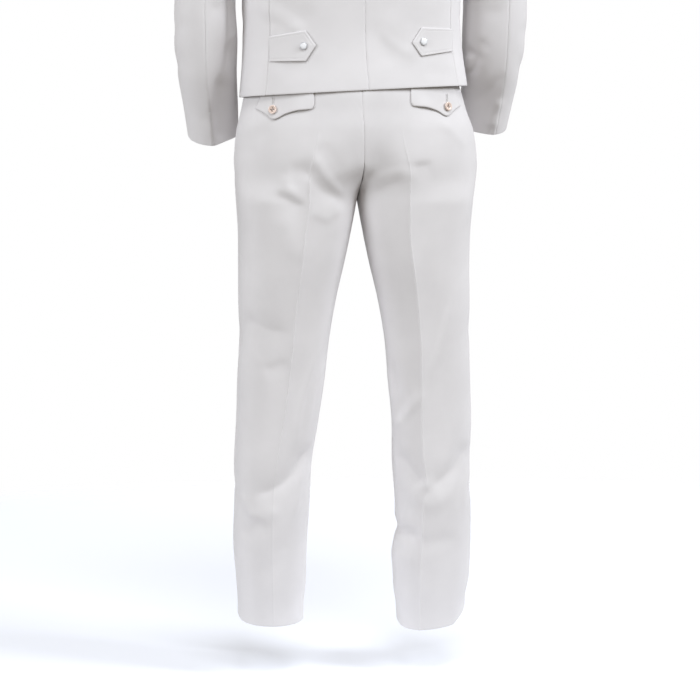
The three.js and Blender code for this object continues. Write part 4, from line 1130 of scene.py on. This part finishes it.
snap = {"radius": 6.6, "height": 3.2, "rim": 1.3, "tabReach": 105, "fronts": (42.0, -24.0), "lift": 0.7}
button = {
    "radius": 7.8, "height": 3.0, "rim": 1.9, "dish": 0.8, "hole": 0.95, "apart": 2.1,
    "reach": 158, "abovePoint": 17, "lift": 1.8, "twist": 12,
}
waistButton = {"turn": 1.93, "lift": 0.6, "twist": 20}
slit = {
    "above": 15, "half": 7.5, "spread": 1.3, "apart": 0.75, "lift": 0.7,
    "length": 1.1, "width": 0.36, "height": 0.34,
}


def turned(bm, profile):  # a ring from a profile of (radius, height) spots, spun about +z
    rows = [bm.verts.new((radius, 0, height)) for radius, height in profile]
    edges = [bm.edges.new(pair) for pair in zip(rows[:-1], rows[1:])]
    bmesh.ops.spin(bm, geom=rows + edges, cent=(0, 0, 0), axis=(0, 0, 1), angle=math.tau, steps=36,
                   use_merge=True)
    bmesh.ops.remove_doubles(bm, verts=bm.verts, dist=1e-4)


def secondFinish(bm, count):  # for the faces past the first `count`
    for face in list(bm.faces)[count:]:
        face.material_index = 1


def seated(bm, spot, normal):  # from its own millimetres to its place on the garment
    bmesh.ops.recalc_face_normals(bm, faces=bm.faces)
    turn = Vector((0, 0, 1)).rotation_difference(normal).to_matrix().to_4x4()
    matrix = Matrix.Translation(spot * metre) @ turn @ Matrix.Scale(metre, 4)
    bmesh.ops.transform(bm, matrix=matrix, verts=bm.verts)


def pearlSnap(name, node, spot, normal):
    bm = bmesh.new()
    radius, height, rim = snap["radius"], snap["height"], snap["rim"]
    turned(bm, [
        (radius * 0.4, 0), (radius * 0.9, 0), (radius, 0.8), (radius, height * 0.55),
        (radius - 0.25, height * 0.8), (radius - 0.6, height * 0.86), (radius - rim, height * 0.72),
    ])
    count = len(bm.faces)
    turned(bm, [
        (radius - rim, height * 0.72), (radius - rim - 0.5, height * 0.88), (radius * 0.5, height * 0.97),
        (0, height),
    ])
    secondFinish(bm, count)
    seated(bm, spot, normal)
    piece = finishPiece(bm, name, (silver, pearl), node)


def sewnButton(name, node, spot, normal, twist):
    bm = bmesh.new()
    radius, height, rim = button["radius"], button["height"], button["rim"]
    level = height - button["dish"]
    turned(bm, [
        (0, 0.2), (radius * 0.8, 0.2), (radius * 0.97, height * 0.35), (radius, height * 0.6),
        (radius - 0.5, height * 0.93), (radius - 1.0, height), (radius - rim, height * 0.96),
        (radius - rim - 0.7, level), (0, level),
    ])
    holes = [(x * button["apart"], y * button["apart"]) for x, y in ((1, 1), (-1, 1), (-1, -1), (1, -1))]
    for x, y in holes:
        count = len(bm.faces)
        place = Matrix.Translation((x, y, level - 0.2))
        bmesh.ops.create_cone(bm, cap_ends=True, segments=12, radius1=button["hole"] * 0.8,
                              radius2=button["hole"], depth=0.5, matrix=place)
        secondFinish(bm, count)
    for start, end in ((0, 2), (1, 3), (0, 3), (1, 2)):  # thread crosses from hole to hole
        (ax, ay), (bx, by) = holes[start], holes[end]
        place = Matrix.Translation(((ax + bx) / 2, (ay + by) / 2, level + 0.25))
        turn = Matrix.Rotation(math.atan2(by - ay, bx - ax), 4, "Z")
        size = Matrix.Diagonal((math.hypot(bx - ax, by - ay) / 2 + 0.3, 0.42, 0.42, 1))
        count = len(bm.faces)
        bmesh.ops.create_uvsphere(bm, u_segments=8, v_segments=6, radius=1, matrix=place @ turn @ size)
        secondFinish(bm, count)
    bmesh.ops.rotate(bm, verts=bm.verts, cent=(0, 0, 0), matrix=Matrix.Rotation(math.radians(twist), 3, "Z"))
    seated(bm, spot, normal)
    piece = finishPiece(bm, name, (roseHorn, buttonThread), node)


def buttonhole(bm, place, reach, z):  # worked edge stitches down both sides of the slit
    for way in (-1, 1):
        across = reach + way * slit["spread"]
        for step in np.arange(-slit["half"], slit["half"] + 0.01, slit["apart"]):
            sewStitch(bm, place, (across, z + step), (across + 0.5, z + step),
                      slit["length"], slit["width"], slit["height"])


holeStitches = bmesh.new()
for side, word in sides:
    rise = tabMiddle(word, snap["tabReach"])
    turn = side * jacketTurn(side, snap["tabReach"], np.array([rise]))[0]
    spot, normal = spotOn(jacketPoint, turn, rise, 1, trimLift + snap["lift"])
    pearlSnap(f"snap_{word}", f"tab_snap_{word}", spot, normal)

    def onSeat(reach, z, side=side):
        return seatPoint(side, reach, z)

    reach, z = button["reach"] + flap["shift"][word], flap["point"][word] + button["abovePoint"]
    spot, normal = spotOn(onSeat, reach, z, side, trimLift + button["lift"])
    sewnButton(f"button_{word}", f"flap_button_{word}", spot, normal, button["twist"] * side)
    buttonhole(holeStitches, lambda a, b: spotOn(onSeat, a, b, side, trimLift + slit["lift"]), reach,
               z + slit["above"])
for i, z in enumerate(snap["fronts"]):
    turn = jacketTurn(1, 0, np.array([z]), True)[0]
    spot, normal = spotOn(lambda a, b: frontPoint(1, a, b), turn, z, 1, snap["lift"])
    pearlSnap(f"frontSnap_{i + 1}", f"front_snap_{i + 1}", spot, normal)
spot, normal = spotOn(waistPoint, waistButton["turn"], trousers["bandZ"] / 2, 1, waistButton["lift"])
sewnButton("bandButton", "waist_button", spot, normal, waistButton["twist"])
piece = finishPiece(trimStitches, "tabStitches", (sewingThread,))
piece = finishPiece(holeStitches, "buttonholes", (sewingThread,))
print("snaps, buttons and stitches made")


view = {"place": (0.5943, 4.1577, -0.1398), "looks": (-0.1386, -0.9861, -0.0922), "lens": 120}
floorSizes = {"z": -1.11, "half": 2.6, "front": 0.62, "back": -2.4, "corner": 0.25, "fade": (0.68, 0.98)}
studio = {
    "paper": (0.80, 0.815, 0.87, 1), "glow": (0.93, 0.95, 1.0, 1), "glowStrength": 0.15,
    "lamp": (0.90, 0.943, 1.0), "air": (1.0, 0.93, 0.8, 1), "airStrength": 0.28, "backdrop": (1, 1, 1, 1),
}


def lookAlong(direction):
    return Vector(direction).to_track_quat("-Z", "Y").to_euler()


camera = addObject("camera", bpy.data.cameras.new("camera"))
camera.data.lens = view["lens"]
camera.location = view["place"]
camera.rotation_euler = lookAlong(view["looks"])
bpy.context.scene.camera = camera


def studioFloor():
    half, middle = floorSizes["half"], (floorSizes["front"] + floorSizes["back"]) / 2
    depth = (floorSizes["front"] - floorSizes["back"]) / 2
    bm = bmesh.new()
    bmesh.ops.create_grid(bm, x_segments=1, y_segments=1, size=1)
    bmesh.ops.scale(bm, verts=bm.verts, vec=(half, depth, 1))
    bmesh.ops.translate(bm, verts=bm.verts, vec=(0, middle, floorSizes["z"]))
    bmesh.ops.bevel(bm, geom=list(bm.verts), offset=floorSizes["corner"], segments=8, profile=0.5,
                    affect="VERTICES", material=-1)
    bmesh.ops.recalc_face_normals(bm, faces=bm.faces)
    mesh = bpy.data.meshes.new("studioFloor")
    bm.to_mesh(mesh)
    bm.free()
    paper, tree, shader = newMaterial("studioPaper", Roughness=0.9, Specular_IOR_Level=0.1)
    shader.inputs["Base Color"].default_value = studio["paper"]
    shader.inputs["Emission Color"].default_value = studio["glow"]
    shader.inputs["Emission Strength"].default_value = studio["glowStrength"]
    spot = addNode(tree, "ShaderNodeTexCoord")
    fromMiddle = addNode(tree, "ShaderNodeMapping", vector_type="TEXTURE")
    fromMiddle.inputs["Location"].default_value = (0, middle, floorSizes["z"])
    fromMiddle.inputs["Scale"].default_value = (half, depth, 1)
    reach = addNode(tree, "ShaderNodeVectorMath", operation="LENGTH")
    fade = addNode(tree, "ShaderNodeMapRange", interpolation_type="SMOOTHSTEP")  # gone at the edges
    fade.inputs["From Min"].default_value, fade.inputs["From Max"].default_value = floorSizes["fade"]
    clear = addNode(tree, "ShaderNodeBsdfTransparent")
    faded = addNode(tree, "ShaderNodeMixShader")
    tree.links.new(spot.outputs["Object"], fromMiddle.inputs["Vector"])
    tree.links.new(fromMiddle.outputs["Vector"], reach.inputs[0])
    tree.links.new(reach.outputs["Value"], fade.inputs["Value"])
    for socket, source in enumerate((fade.outputs["Result"], shader.outputs[0], clear.outputs[0])):
        tree.links.new(source, faded.inputs[socket])
    tree.links.new(faded.outputs[0], tree.nodes["Material Output"].inputs["Surface"])
    mesh.materials.append(paper)
    floor = addObject("studioFloor", mesh)


studioFloor()

lights = [  # place, what it looks at, side length in metres, watts
    {"name": "keyLight", "place": (-3.9, 2.1, 2.2), "target": (0, 0, -0.3), "size": 1.8, "power": 198},
    {"name": "fillLight", "place": (3.9, 2.1, 1.1), "target": (0, 0, -0.35), "size": 1.8, "power": 120},
    {"name": "topLight", "place": (-0.2, 2.8, 3.6), "target": (0, 0, 0.3), "size": 1.8, "power": 102},
    {"name": "frontLight", "place": (-0.9, -4.4, 1.6), "target": (0, 0, -0.2), "size": 2.4, "power": 105},
]
for spec in lights:
    lamp = bpy.data.lights.new(spec["name"], "AREA")
    lamp.shape = "SQUARE"
    lamp.size = spec["size"]
    lamp.energy = spec["power"]
    lamp.color = studio["lamp"]
    holder = addObject(spec["name"], lamp)
    holder.location = spec["place"]
    holder.rotation_euler = lookAlong(Vector(spec["target"]) - Vector(spec["place"]))
world = bpy.data.worlds.new("studioAir")
world.use_nodes = True
tree = world.node_tree
air = tree.nodes["Background"]  # soft warm light from all round
air.inputs[0].default_value = studio["air"]
air.inputs[1].default_value = studio["airStrength"]
backdrop = addNode(tree, "ShaderNodeBackground")  # plain white that lights nothing
backdrop.inputs[0].default_value = studio["backdrop"]
seen = addNode(tree, "ShaderNodeLightPath")
chosen = addNode(tree, "ShaderNodeMixShader")
for socket, source in enumerate((seen.outputs["Is Camera Ray"], air.outputs[0], backdrop.outputs[0])):
    tree.links.new(source, chosen.inputs[socket])
tree.links.new(chosen.outputs[0], tree.nodes["World Output"].inputs[0])
bpy.context.scene.world = world
bpy.context.scene.view_settings.view_transform = "Standard"
print("camera and light set")
